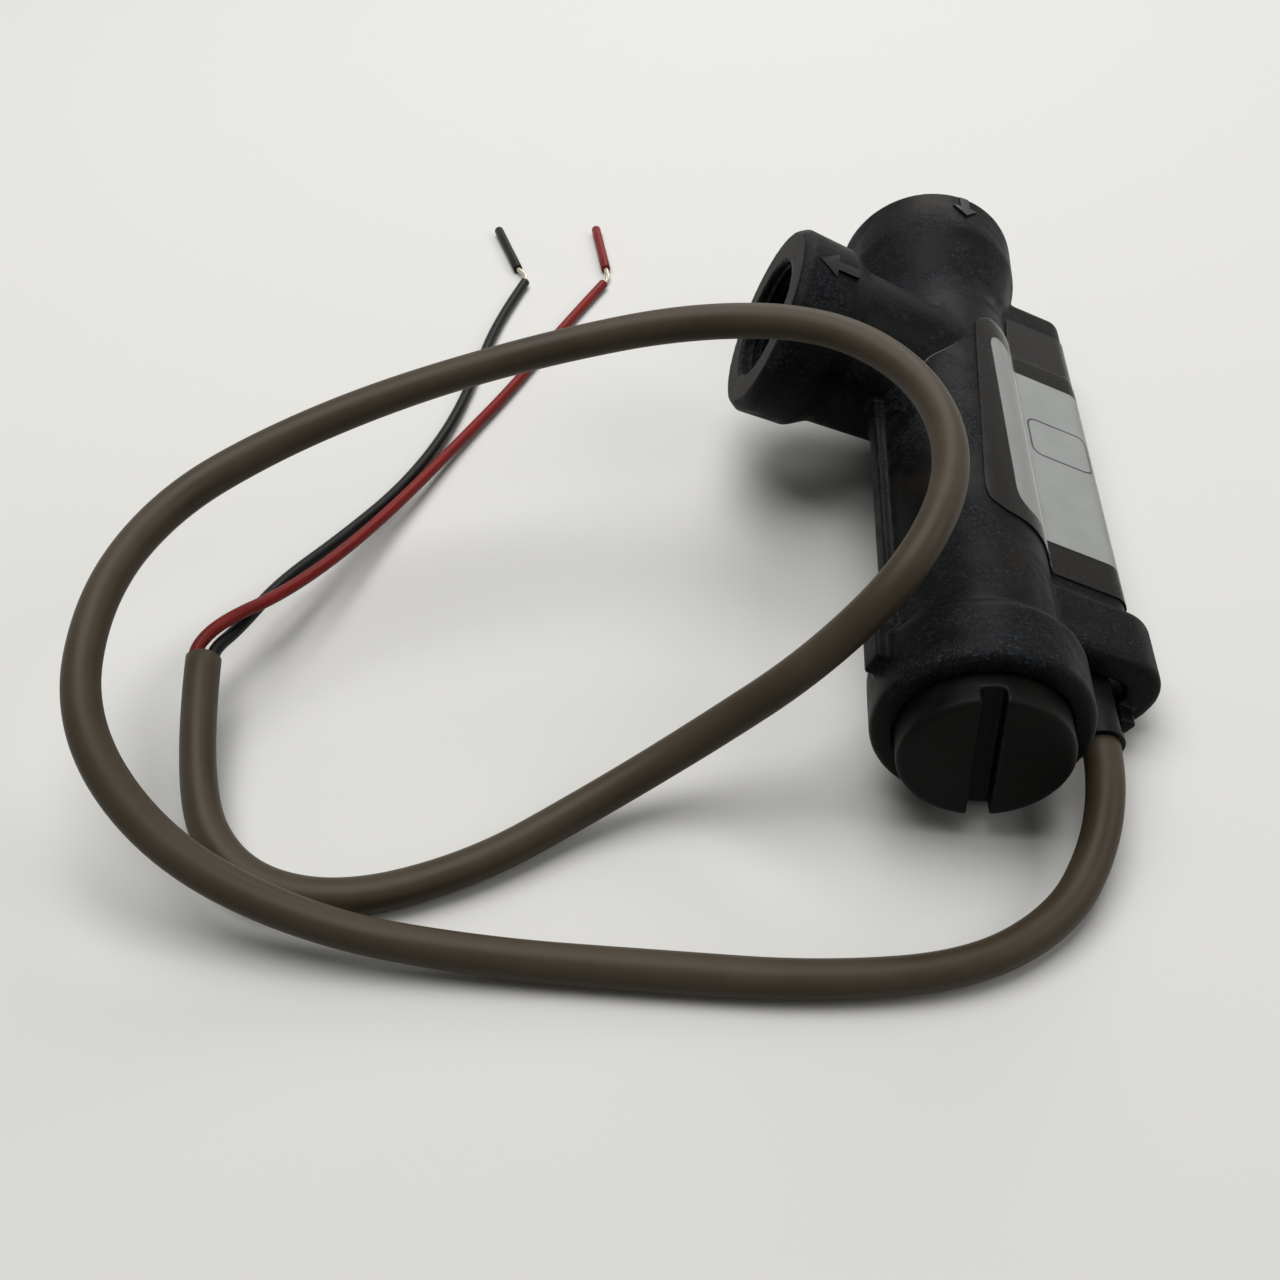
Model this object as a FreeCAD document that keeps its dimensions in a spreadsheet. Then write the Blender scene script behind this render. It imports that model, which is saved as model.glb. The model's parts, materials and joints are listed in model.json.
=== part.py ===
import FreeCAD, Part
import math
import os
import Sketcher

# Shuttle-type flow switch: a moulded right-angle body with an inlet at its far end and a side outlet.
# Flow pushes a spring-loaded shuttle off its seat; a ring magnet on the shuttle closes a potted reed
# switch in the housing opposite the outlet.
#
# Everything rigid is modelled in the body's own axes, in millimetres: Y along the flow tube from the
# front of the plug collar to the inlet face, X from the tube towards the switch housing (the outlet
# points to -X), Z square to both. lie_down() then rolls it onto its housing and sets the row frame.

os.makedirs("parts", exist_ok=True)
doc = FreeCAD.newDocument("FlowSwitch")
Vector = FreeCAD.Vector
OVERRUN = 1.0            # how far a cutting tool runs past the face that it opens
TURN_TO_Y = FreeCAD.Rotation(Vector(1, 0, 0), -90)      # a primitive's own Z onto +Y
TURN_TO_OUTLET = FreeCAD.Rotation(Vector(0, 1, 0), -90)  # a primitive's own Z onto -X

# ---------------------------------------------------------------- sizes
SIZES = {
    # flow tube, plug collar and inlet boss
    "tube_radius": 15.15,
    "bore_radius": 12.0,
    "body_length": 145.6,
    "collar_radius": 18.35,
    "collar_length": 12.4,
    "collar_shoulder": 3.5,
    "collar_lip_round": 1.6,
    "shoulder_round": 2.2,
    "boss_radius": 19.7,
    "boss_length": 13.0,
    "boss_flare": 15.0,
    "boss_draft": 0.5,
    "flare_round": 11.0,
    "boss_edge_round": 1.2,
    # threaded ports (bored at the thread's minor diameter) and the shuttle's seat
    "port_bore_radius": 12.14,
    "inlet_bore_depth": 28.6,
    "seat_radius": 9.5,
    "seat_thickness": 3.5,
    "thread_lead_in": 0.9,
    # side outlet
    "outlet_station": 96.74,
    "outlet_reach": 41.06,
    "outlet_collar_radius": 19.5,
    "outlet_face_radius": 18.3,
    "outlet_bevel": 1.8,
    "outlet_collar_length": 11.6,
    "outlet_step": 4.4,
    "outlet_step_round": 2.2,
    "neck_radius": 16.35,
    "neck_root_radius": 14.9,
    "outlet_bore_depth": 20.0,
    "outlet_passage_radius": 10.6,
    # parting-plane spine on the outlet side
    "spine_half_width": 1.5,
    "spine_reach": 17.1,
    "collar_spine_half_width": 2.4,
    "collar_spine_reach": 20.3,
    "collar_spine_start": 7.0,
    # switch housing and the hood at its near end
    "housing_half_width": 8.5,
    "housing_reach": 30.4,
    "housing_corner": 4.0,
    "housing_end": 131.0,
    "housing_end_round": 3.6,
    "hood_start": 19.5,
    "hood_end": 34.0,
    "hood_half_width": 9.2,
    "hood_reach": 36.7,
    "hood_corner": 8.5,
    "hood_edge_round": 1.6,
    # potting pocket, its oval mouth, and the half-round saddle below the sleeve
    "sleeve_gap": 1.6,
    "mouth_half_length": 6.1,
    "mouth_half_height": 3.9,
    "mouth_depth": 10.0,
    "pocket_half_length": 4.6,
    "pocket_half_height": 3.7,
    "pocket_end": 112.0,
    "saddle_radius": 9.0,
    "saddle_start": 15.0,
    # service plug
    "plug_radius": 14.35,
    "plug_clearance": 0.05,
    "plug_proud": 6.0,
    "plug_thread_length": 9.5,
    "plug_edge_round": 1.1,
    "nose_radius": 11.8,
    "nose_length": 7.5,
    "slot_width": 3.8,
    "slot_depth": 3.2,
    "slot_turn": 26.4,
    "spring_cup_radius": 7.0,
    "spring_cup_floor": 5.0,
    "stop_sleeve_wall": 1.4,
    "stop_gap": 0.1,
    # O-ring
    "ring_cord_radius": 1.0,
    "ring_squeeze_gap": 0.05,
    "ring_station": 13.2,
    "groove_side_gap": 0.3,
    # shuttle, magnet and retainer
    "shuttle_travel": 14.0,
    "running_clearance": 0.07,
    "seat_gap": 0.1,
    "piston_length": 10.4,
    "nose_cone_radius": 9.0,
    "nose_cone_length": 3.0,
    "piston_groove_width": 1.2,
    "piston_groove_depth": 0.9,
    "stem_radius": 4.6,
    "stem_shoulder_radius": 7.4,
    "magnet_radius": 10.2,
    "magnet_length": 13.0,
    "magnet_station": 72.0,
    "retainer_length": 7.0,
    "retainer_floor": 3.0,
    "vent_radius": 1.5,
    "vent_circle": 9.2,
    "vent_count": 4,
    # return spring
    "spring_wire_radius": 0.4,
    "spring_mean_radius": 5.7,
    "spring_turns": 11.0,
    # reed switch
    "reed_inset": 1.4,
    "reed_centre": 58.0,
    "glass_radius": 1.35,
    "glass_wall": 0.35,
    "glass_length": 14.0,
    "glass_seal": 2.0,
    "glass_lead_gap": 0.02,
    "lead_radius": 0.3,
    "lead_length": 13.0,
    "blade_width": 1.2,
    "blade_thickness": 0.2,
    "blade_overlap": 1.0,
    "blade_root": 0.6,
    "contact_gap": 0.24,
    "hinge_gap": 0.05,
    # crimps and the leads inside the housing
    "crimp_radius": 1.1,
    "crimp_length": 7.0,
    "crimp_grip": 3.0,
    "core_radius": 1.2,
    "core_spread": 1.45,
    "far_loop_radius": 1.95,
    "red_lead_radius": 0.66,
    "red_lead_overshoot": 1.0,
    # cable and its sleeve
    "cable_radius": 3.15,
    "cable_inner_end": 26.0,
    "sleeve_root_radius": 3.6,
    "sleeve_tip_radius": 3.75,
    "sleeve_root": 22.0,
    "sleeve_tip": 6.8,
    "sleeve_bead_radius": 4.05,
    "sleeve_bead_length": 1.3,
    # printed label and the clear film over it
    "label_start": 45.6,
    "label_end": 99.4,
    "label_thickness": 0.15,
    "label_inner_edge": 14.2,
    "film_start": 36.0,
    "film_end": 106.0,
    "film_thickness": 0.12,
    # bare conductors and the insulation slugs left on their tips
    "strand_radius": 0.55,
    "strand_count": 7,
}


class Size:
    """A length that knows both its number and the sheet expression that gives it."""

    def __init__(self, number, text):
        self.number, self.text = float(number), text

    def __add__(self, other):
        other = size(other)
        return Size(self.number + other.number, f"({self.text} + {other.text})")

    def __sub__(self, other):
        other = size(other)
        return Size(self.number - other.number, f"({self.text} - {other.text})")

    def __mul__(self, other):
        other = size(other)
        return Size(self.number * other.number, f"({self.text} * {other.text})")

    def __truediv__(self, other):
        other = size(other)
        return Size(self.number / other.number, f"({self.text} / {other.text})")

    def __neg__(self):
        return Size(-self.number, f"(0 - {self.text})")

    __radd__ = __add__
    __rmul__ = __mul__

    def __rsub__(self, other):
        return size(other) - self


def size(value):
    """A plain number as a Size; a Size as it is."""
    return value if isinstance(value, Size) else Size(value, f"{value:g}" if value >= 0 else f"(0 - {-value:g})")


class Sizes:
    """Reads the sheet's cells as attributes: s.tube_radius is a Size."""

    def __getattr__(self, name):
        return Size(sheet.get(name), f"Sizes.{name}")

    @property
    def exit_reach(self):
        """How far from the tube's axis the cable leaves: its sleeve's bead just clears the collar."""
        return self.collar_radius + self.sleeve_bead_radius + self.sleeve_gap

    @property
    def reed_reach(self):
        """How far from the tube's axis the reed lies."""
        return self.exit_reach - self.reed_inset


sheet = doc.addObject("Spreadsheet::Sheet", "Sizes")
for row, (alias, number) in enumerate(SIZES.items(), start=1):
    sheet.set(f"A{row}", alias)
    sheet.set(f"B{row}", str(number))
    sheet.setAlias(f"B{row}", alias)
doc.recompute()
s = Sizes()


# ---------------------------------------------------------------- drawing helpers
def bind(obj, prop, value):
    """Ties a property to the sheet, or sets it where it is a plain number."""
    if isinstance(value, Size):
        obj.setExpression(prop, value.text)
    else:
        obj.setExpression(prop, f"{value:g}" if value >= 0 else f"0 - {-value:g}")


def place(obj, x=0, y=0, z=0, rotation=None):
    if rotation is not None:
        obj.Placement = FreeCAD.Placement(Vector(), rotation)
    for axis, value in (("x", x), ("y", y), ("z", z)):
        bind(obj, f"Placement.Base.{axis}", value)


def box(name, x, y, z):
    """A box between pairs of (low, high) sizes on each axis."""
    obj = doc.addObject("Part::Box", name)
    for prop, (low, high) in (("Length", x), ("Width", y), ("Height", z)):
        bind(obj, prop, size(high) - low)
    place(obj, x[0], y[0], z[0])
    return obj


def rod(name, radius, start, end, x=0, z=0):
    """A cylinder along Y from one station to another."""
    obj = doc.addObject("Part::Cylinder", name)
    bind(obj, "Radius", radius)
    bind(obj, "Height", size(end) - start)
    place(obj, x, start, z, TURN_TO_Y)
    return obj


def taper(name, radius_start, radius_end, start, end, x=0, z=0):
    """A cone along Y."""
    obj = doc.addObject("Part::Cone", name)
    bind(obj, "Radius1", radius_start)
    bind(obj, "Radius2", radius_end)
    bind(obj, "Height", size(end) - start)
    place(obj, x, start, z, TURN_TO_Y)
    return obj


def outlet_rod(name, radius, start, end):
    """A cylinder along the outlet's axis, from one reach to a larger one."""
    obj = doc.addObject("Part::Cylinder", name)
    bind(obj, "Radius", radius)
    bind(obj, "Height", size(end) - start)
    place(obj, -size(start), s.outlet_station, 0, TURN_TO_OUTLET)
    return obj


def fuse(name, *pieces):
    obj = doc.addObject("Part::MultiFuse", name)
    obj.Shapes = list(pieces)
    return obj


def cut(name, base, *tools):
    obj = doc.addObject("Part::Cut", name)
    obj.Base = base
    obj.Tool = tools[0] if len(tools) == 1 else fuse(f"{name}Tools", *tools)
    return obj


def common(name, base, tool):
    obj = doc.addObject("Part::Common", name)
    obj.Base, obj.Tool = base, tool
    return obj


def rounded(name, base, *rules):
    """Rounds edges of base, one rule after another: (test of an edge, radius in mm)."""
    for index, (test, radius) in enumerate(rules):
        doc.recompute()
        picked = [number for number, edge in enumerate(base.Shape.Edges, start=1) if test(edge)]
        if not picked:
            raise RuntimeError(f"{name}: rule {index} finds no edge")
        feature = doc.addObject("Part::Fillet", f"{name}{index}")
        feature.Base = base
        feature.Edges = [(number, radius, radius) for number in picked]
        base = feature
    return base


def near(a, b, tolerance=0.01):
    return abs(a - b) < tolerance


def along_y(edge):
    return edge.BoundBox.XLength < 0.001 and edge.BoundBox.ZLength < 0.001


def at_station(edge, station):
    box_ = edge.BoundBox
    return box_.YLength < 0.001 and near(box_.YMin, station)


def profile(owner, name, points):
    """A closed outline in the XY plane from (x, y) or (x, y, corner radius), all held by the sheet."""
    if owner is None:
        sketch = doc.addObject("Sketcher::SketchObject", name)
    else:
        sketch = owner.newObject("Sketcher::SketchObject", name)
        plane = next(item for item in owner.Origin.OriginFeatures if item.Role == "XY_Plane")
        sketch.AttachmentSupport = (plane, [""])
        sketch.MapMode = "FlatFace"
    corners = [(size(x), size(y), size(rest[0]) if rest else None) for x, y, *rest in points]
    total = len(corners)
    spots = [Vector(x.number, y.number, 0) for x, y, _ in corners]
    entries, exits, arcs = [], [], []
    for index, (_, _, radius) in enumerate(corners):
        spot = spots[index]
        if radius is None:
            entries.append(spot)
            exits.append(spot)
            arcs.append(None)
            continue
        back = (spots[index - 1] - spot).normalize()
        ahead = (spots[(index + 1) % total] - spot).normalize()
        half = back.getAngle(ahead) / 2
        trim = radius.number / math.tan(half)
        centre = spot + (back + ahead).normalize() * (radius.number / math.sin(half))
        entries.append(spot + back * trim)
        exits.append(spot + ahead * trim)
        leftward = (ahead.cross(back)).z > 0
        first, last = (entries[-1], exits[-1]) if leftward else (exits[-1], entries[-1])
        angles = [math.atan2(point.y - centre.y, point.x - centre.x) for point in (first, last)]
        circle = Part.Circle(centre, Vector(0, 0, 1), radius.number)
        arcs.append((Part.ArcOfCircle(circle, *angles), leftward))
    for index in range(total):
        sketch.addGeometry(Part.LineSegment(exits[index], entries[(index + 1) % total]))

    def hold(geometry, position, x, y):
        for kind, coordinate, axis in (("DistanceX", x, -2), ("DistanceY", y, -1)):
            if abs(coordinate.number) < 1e-9:
                sketch.addConstraint(Sketcher.Constraint("PointOnObject", geometry, position, axis))
            else:
                datum = sketch.addConstraint(
                    Sketcher.Constraint(kind, -1, 1, geometry, position, coordinate.number))
                sketch.setExpression(f"Constraints[{datum}]", coordinate.text)

    for index, (x, y, radius) in enumerate(corners):
        before, after = (index - 1) % total, index
        if radius is None:
            sketch.addConstraint(Sketcher.Constraint("Coincident", before, 2, after, 1))
            hold(after, 1, x, y)
            continue
        curve, leftward = arcs[index]
        arc = sketch.addGeometry(curve)
        corner = sketch.addGeometry(Part.Point(spots[index]), True)
        entry, leave = (1, 2) if leftward else (2, 1)
        hold(corner, 1, x, y)
        sketch.addConstraint(Sketcher.Constraint("PointOnObject", corner, 1, before))
        sketch.addConstraint(Sketcher.Constraint("PointOnObject", corner, 1, after))
        sketch.addConstraint(Sketcher.Constraint("Tangent", before, 2, arc, entry))
        sketch.addConstraint(Sketcher.Constraint("Tangent", after, 1, arc, leave))
        datum = sketch.addConstraint(Sketcher.Constraint("Radius", arc, radius.number))
        sketch.setExpression(f"Constraints[{datum}]", radius.text)
    return sketch


def turned(name, points):
    """A PartDesign body turned about Y from (radius, station) points."""
    body = doc.addObject("PartDesign::Body", name)
    outline = profile(body, f"{name}Profile", points)
    feature = body.newObject("PartDesign::Revolution", f"{name}Turned")
    feature.Profile = outline
    feature.ReferenceAxis = (outline, ["V_Axis"])
    feature.Angle = 360
    body.Tip = feature
    return body


def turned_solid(name, points, centre=(0, 0, 0), axis=(0, 1, 0)):
    """A Part revolution of an outline about a line parallel to Y or X."""
    outline = profile(None, f"{name}Profile", points)
    feature = doc.addObject("Part::Revolution", name)
    feature.Source = outline
    feature.Axis = Vector(*axis)
    feature.Angle = 360
    feature.Solid = True
    for letter, value in zip("xyz", centre):
        bind(feature, f"Base.{letter}", value)
    return feature


SUBPARTS = {}            # node name: document object
CORD_NODES = ("cable_jacket", "black_core", "red_core", "black_strands", "red_strands",
              "black_tip_slug", "red_tip_slug")


def subpart(node, obj):
    obj.Label = node
    SUBPARTS[node] = obj
    return obj


# ---------------------------------------------------------------- valve body
def valve_body():
    """The one-piece moulded body: flow tube, collar, boss, outlet, spine, housing, hood and saddle."""
    boss_start = s.body_length - s.boss_length
    flare_start = boss_start - s.boss_flare
    shoulder_end = s.collar_length + s.collar_shoulder
    boss_root_radius = s.boss_radius - s.boss_draft
    tube = turned("FlowTube", [
        (0, 0), (s.collar_radius, 0, s.collar_lip_round),
        (s.collar_radius, s.collar_length, s.shoulder_round), (s.tube_radius, shoulder_end, s.shoulder_round),
        (s.tube_radius, flare_start, s.flare_round), (boss_root_radius, boss_start, s.flare_round),
        (s.boss_radius, s.body_length, s.boss_edge_round), (0, s.body_length),
    ])

    step_start = s.outlet_reach - s.outlet_collar_length
    outlet = turned_solid("Outlet", [
        (-s.outlet_reach, s.outlet_station), (-s.outlet_reach, s.outlet_station + s.outlet_face_radius),
        (s.outlet_bevel - s.outlet_reach, s.outlet_station + s.outlet_collar_radius),
        (-step_start, s.outlet_station + s.outlet_collar_radius - s.boss_draft, s.outlet_step_round),
        (s.outlet_step - step_start, s.outlet_station + s.neck_radius, s.outlet_step_round),
        (0, s.outlet_station + s.neck_root_radius), (0, s.outlet_station),
    ], centre=(0, s.outlet_station, 0), axis=(1, 0, 0))

    housing = box("HousingBlock", (0, s.housing_reach), (s.hood_start + 1, s.housing_end),
                  (-s.housing_half_width, s.housing_half_width))
    housing = rounded(
        "Housing", housing,
        (lambda e: along_y(e) and near(e.BoundBox.XMin, s.housing_reach.number), s.housing_corner.number),
        (lambda e: at_station(e, s.housing_end.number) and e.BoundBox.XMax > 1, s.housing_end_round.number),
    )
    hood = box("HoodBlock", (0, s.hood_reach), (s.hood_start, s.hood_end), (-s.hood_half_width, s.hood_half_width))
    hood = rounded(
        "HoodCorners", hood,
        (lambda e: along_y(e) and near(e.BoundBox.XMin, s.hood_reach.number), s.hood_corner.number),
    )
    hood = rounded(
        "Hood", hood,
        (lambda e: e.BoundBox.YLength < 0.001 and e.BoundBox.XMax > 1, s.hood_edge_round.number),
    )
    saddle = common(
        "Saddle", rod("SaddleRound", s.saddle_radius, s.saddle_start, s.hood_start + 4, x=s.exit_reach),
        box("SaddleLowerHalf", (s.tube_radius - 1, s.exit_reach + s.saddle_radius + 1),
            (s.saddle_start, s.hood_start + 4), (-s.saddle_radius - 1, 0)))

    flare_room = s.outlet_station + s.neck_radius
    spine = box("Spine", (-s.spine_reach, 0), (s.collar_length, s.outlet_station - s.neck_root_radius + 3),
                (-s.spine_half_width, s.spine_half_width))
    far_spine = box("FarSpine", (-s.spine_reach, 0), (flare_room - 3, boss_start),
                    (-s.spine_half_width, s.spine_half_width))
    collar_spine = box("CollarSpine", (-s.collar_spine_reach, 0),
                       (s.collar_spine_start, s.collar_length + s.collar_shoulder),
                       (-s.collar_spine_half_width, s.collar_spine_half_width))
    solid = fuse("BodySolid", tube, outlet, housing, hood, saddle, spine, far_spine, collar_spine)

    seat_end = s.body_length - s.inlet_bore_depth
    seat_start = seat_end - s.seat_thickness
    mouth_end = s.hood_start + s.mouth_depth
    return subpart("valve_body", cut(
        "ValveBody", solid,
        rod("PlugThreadBore", s.plug_radius + s.plug_clearance, -OVERRUN, s.plug_thread_length + 0.1),
        rod("ShuttleBore", s.bore_radius, s.plug_thread_length / 2, seat_start),
        rod("SeatOpening", s.seat_radius, s.outlet_station, s.body_length - s.inlet_bore_depth / 2),
        rod("InletBore", s.port_bore_radius, seat_end, s.body_length + OVERRUN),
        taper("InletLeadIn", s.port_bore_radius, s.port_bore_radius + s.thread_lead_in,
              s.body_length - s.thread_lead_in, s.body_length + 0.001),
        outlet_rod("OutletPassage", s.outlet_passage_radius, 0, s.outlet_reach),
        outlet_rod("OutletBore", s.port_bore_radius, s.outlet_bore_depth, s.outlet_reach + OVERRUN),
        oval_bore("Mouth", s.mouth_half_length, s.mouth_half_height, s.saddle_start - OVERRUN, mouth_end),
        oval_bore("Pocket", s.pocket_half_length, s.pocket_half_height, s.hood_start, s.pocket_end,
                  x=s.reed_reach),
    ))


def oval_bore(name, half_length, half_height, start, end, x=None):
    """A round-ended slot along Y, long way across X."""
    x = s.exit_reach if x is None else x
    reach = half_length - half_height
    return fuse(
        name,
        rod(f"{name}Near", half_height, start, end, x=x - reach),
        rod(f"{name}Far", half_height, start, end, x=x + reach),
        box(f"{name}Middle", (x - reach, x + reach), (start, end), (-half_height, half_height)))


# ---------------------------------------------------------------- service plug
def service_plug():
    """The coin-slotted screw plug: barrel, O-ring groove and the sleeve that houses the spring and
    stops the shuttle."""
    groove_half = s.ring_cord_radius + s.groove_side_gap
    groove_floor = s.bore_radius - s.ring_squeeze_gap - 2 * s.ring_cord_radius - s.ring_squeeze_gap
    nose_end = s.plug_thread_length + s.nose_length
    sleeve_radius = s.spring_cup_radius + s.stop_sleeve_wall
    _, _, _, _, retainer_start = shuttle_stations()
    sleeve_end = retainer_start - s.shuttle_travel - s.stop_gap
    plug = turned("Plug", [
        (0, -s.plug_proud), (s.plug_radius, -s.plug_proud, s.plug_edge_round),
        (s.plug_radius, s.plug_thread_length),
        (s.nose_radius, s.plug_thread_length), (s.nose_radius, s.ring_station - groove_half),
        (groove_floor, s.ring_station - groove_half), (groove_floor, s.ring_station + groove_half),
        (s.nose_radius, s.ring_station + groove_half), (s.nose_radius, nose_end),
        (sleeve_radius, nose_end), (sleeve_radius, sleeve_end),
        (s.spring_cup_radius, sleeve_end), (s.spring_cup_radius, s.spring_cup_floor),
        (0, s.spring_cup_floor),
    ])
    slot = plug.newObject("PartDesign::SubtractiveBox", "CoinSlot")
    bind(slot, "Length", s.slot_width)
    bind(slot, "Width", s.slot_depth + OVERRUN)
    bind(slot, "Height", 2 * s.plug_radius + 2 * OVERRUN)
    slot.Placement = FreeCAD.Placement()
    bind(slot, "Placement.Base.x", -s.slot_width / 2)
    bind(slot, "Placement.Base.y", -s.plug_proud - OVERRUN)
    bind(slot, "Placement.Base.z", -s.plug_radius - OVERRUN)
    plug.Tip = slot
    plug.Placement = FreeCAD.Placement(Vector(), FreeCAD.Rotation(Vector(0, 1, 0), -s.slot_turn.number))
    return subpart("service_plug", plug)


def plug_o_ring():
    ring = doc.addObject("Part::Torus", "PlugORing")
    bind(ring, "Radius1", s.bore_radius - s.ring_squeeze_gap - s.ring_cord_radius)
    bind(ring, "Radius2", s.ring_cord_radius)
    place(ring, 0, s.ring_station, 0, TURN_TO_Y)
    return subpart("plug_o_ring", ring)


# ---------------------------------------------------------------- shuttle group
def shuttle_stations():
    """Stations shared by the shuttle, its magnet, the retainer and the spring."""
    seat_face = s.body_length - s.inlet_bore_depth - s.seat_thickness
    piston_end = seat_face - s.seat_gap
    magnet_start = s.magnet_station - s.magnet_length / 2
    magnet_end = s.magnet_station + s.magnet_length / 2
    retainer_start = magnet_start - s.retainer_length
    return seat_face, piston_end, magnet_start, magnet_end, retainer_start


def shuttle():
    """The piston that lifts off the seat, with its nose, two balance grooves and a stem for the magnet."""
    _, piston_end, _, magnet_end, retainer_start = shuttle_stations()
    stem_end = retainer_start + s.retainer_floor
    piston_radius = s.bore_radius - s.running_clearance
    piston_start = piston_end - s.piston_length
    groove_floor = piston_radius - s.piston_groove_depth
    gap = (s.piston_length - 2 * s.piston_groove_width) / 3
    first = piston_start + gap
    second = first + s.piston_groove_width + gap
    return subpart("shuttle", turned("Shuttle", [
        (0, stem_end), (s.stem_radius, stem_end), (s.stem_radius, magnet_end),
        (s.stem_shoulder_radius, magnet_end), (s.stem_shoulder_radius, piston_start),
        (piston_radius, piston_start), (piston_radius, first), (groove_floor, first),
        (groove_floor, first + s.piston_groove_width), (piston_radius, first + s.piston_groove_width),
        (piston_radius, second), (groove_floor, second), (groove_floor, second + s.piston_groove_width),
        (piston_radius, second + s.piston_groove_width), (piston_radius, piston_end),
        (s.nose_cone_radius, piston_end), (s.nose_cone_radius / 2, piston_end + s.nose_cone_length),
        (0, piston_end + s.nose_cone_length),
    ]))


def shuttle_magnet():
    _, _, magnet_start, magnet_end, _ = shuttle_stations()
    return subpart("shuttle_magnet", cut(
        "ShuttleMagnet", rod("MagnetRound", s.magnet_radius, magnet_start, magnet_end),
        rod("MagnetBore", s.stem_radius, magnet_start - OVERRUN, magnet_end + OVERRUN)))


def magnet_retainer():
    """The guide ring that is pressed on the stem behind the magnet, vented so that water can pass."""
    _, _, magnet_start, _, retainer_start = shuttle_stations()
    floor_end = retainer_start + s.retainer_floor
    ring = turned("Retainer", [
        (0, retainer_start), (s.bore_radius - s.running_clearance, retainer_start),
        (s.bore_radius - s.running_clearance, magnet_start), (s.stem_radius, magnet_start),
        (s.stem_radius, floor_end), (0, floor_end),
    ])
    vents = []
    for index in range(int(s.vent_count.number)):
        angle = 2 * math.pi * (index + 0.5) / s.vent_count.number
        vents.append(rod(f"Vent{index}", s.vent_radius, retainer_start - OVERRUN, magnet_start + OVERRUN,
                         x=s.vent_circle * math.cos(angle), z=s.vent_circle * math.sin(angle)))
    return subpart("magnet_retainer", cut("RetainerVented", ring, *vents))


def return_spring():
    """A compression spring from the plug's cup to the retainer, swept along its helix."""
    _, _, _, _, retainer_start = shuttle_stations()
    wire, mean = s.spring_wire_radius.number, s.spring_mean_radius.number
    start = s.spring_cup_floor.number + wire
    length = retainer_start.number - wire - start
    helix = Part.makeHelix(length / s.spring_turns.number, length, mean)
    section = Part.Wire(Part.makeCircle(wire, Vector(mean, 0, 0), Vector(0, 1, 0)))
    coil = Part.Wire(helix.Edges).makePipeShell([section], True, True)
    feature = doc.addObject("Part::Feature", "ReturnSpring")
    feature.Shape = coil
    feature.Placement = FreeCAD.Placement(Vector(0, start, 0), TURN_TO_Y)
    return subpart("return_spring", feature)


# ---------------------------------------------------------------- reed switch
def reed_stations():
    half = s.glass_length / 2
    return s.reed_centre - half, s.reed_centre + half


def reed_glass():
    """The sealed glass tube: solid seals at both ends and a hollow between them."""
    start, end = reed_stations()
    return subpart("reed_glass", cut(
        "ReedGlass", rod("GlassRound", s.glass_radius, start, end, x=s.reed_reach),
        rod("GlassHollow", s.glass_radius - s.glass_wall, start + s.glass_seal, end - s.glass_seal, x=s.reed_reach),
        rod("GlassLeadHole", s.lead_radius + s.glass_lead_gap, start - OVERRUN, end + OVERRUN, x=s.reed_reach)))


def fixed_reed():
    """The far reed: its lead through the seal and its blade above the contact gap."""
    _, end = reed_stations()
    blade_low = s.reed_reach + s.contact_gap / 2
    return subpart("fixed_reed", fuse(
        "FixedReed",
        rod("FixedLead", s.lead_radius, end - s.glass_seal - s.blade_root, end + s.lead_length, x=s.reed_reach),
        box("FixedBlade", (blade_low, blade_low + s.blade_thickness),
            (s.reed_centre - s.blade_overlap / 2, end - s.glass_seal - s.hinge_gap),
            (-s.blade_width / 2, s.blade_width / 2))))


def moving_reed_lead():
    start, _ = reed_stations()
    return subpart("moving_reed_lead", rod(
        "MovingLead", s.lead_radius, start - s.lead_length, start + s.glass_seal, x=s.reed_reach))


def moving_reed():
    """The near reed's free blade, which bends across the gap when the magnet comes by."""
    start, _ = reed_stations()
    blade_high = s.reed_reach - s.contact_gap / 2
    return subpart("moving_reed", box(
        "MovingReed", (blade_high - s.blade_thickness, blade_high),
        (start + s.glass_seal + s.hinge_gap, s.reed_centre + s.blade_overlap / 2),
        (-s.blade_width / 2, s.blade_width / 2)))


def crimp_stations():
    start, end = reed_stations()
    near_end = start - s.lead_length + s.crimp_grip
    far_start = end + s.lead_length - s.crimp_grip
    return near_end - s.crimp_length, near_end, far_start, far_start + s.crimp_length


def wire_crimps():
    """Two crimp ferrules that join the reed's leads to the cable's cores."""
    near_start, near_end, far_start, far_end = crimp_stations()
    ferrules = []
    for name, start, end, lead_from, lead_to in (
            ("NearCrimp", near_start, near_end, near_end - s.crimp_grip, near_end + OVERRUN),
            ("FarCrimp", far_start, far_end, far_start - OVERRUN, far_start + s.crimp_grip)):
        ferrules.append(cut(name, rod(f"{name}Round", s.crimp_radius, start, end, x=s.reed_reach),
                            rod(f"{name}Lead", s.lead_radius, lead_from, lead_to, x=s.reed_reach)))
    pair = doc.addObject("Part::Compound", "WireCrimps")
    pair.Links = ferrules
    return subpart("wire_crimps", pair)


def red_lead(name):
    """The thin red lead: out past the reed, round a half turn and back to the far crimp."""
    _, _, _, far_end = crimp_stations()
    turn = far_end + s.red_lead_overshoot
    bend = doc.addObject("Part::Torus", f"{name}Bend")
    bind(bend, "Radius1", s.far_loop_radius)
    bind(bend, "Radius2", s.red_lead_radius)
    bend.Angle3 = 180
    place(bend, s.reed_reach + s.far_loop_radius, turn, 0)
    return fuse(name,
                rod(f"{name}Out", s.red_lead_radius, s.cable_inner_end, turn, x=s.reed_reach + 2 * s.far_loop_radius),
                bend, rod(f"{name}Back", s.red_lead_radius, far_end, turn, x=s.reed_reach))


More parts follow.
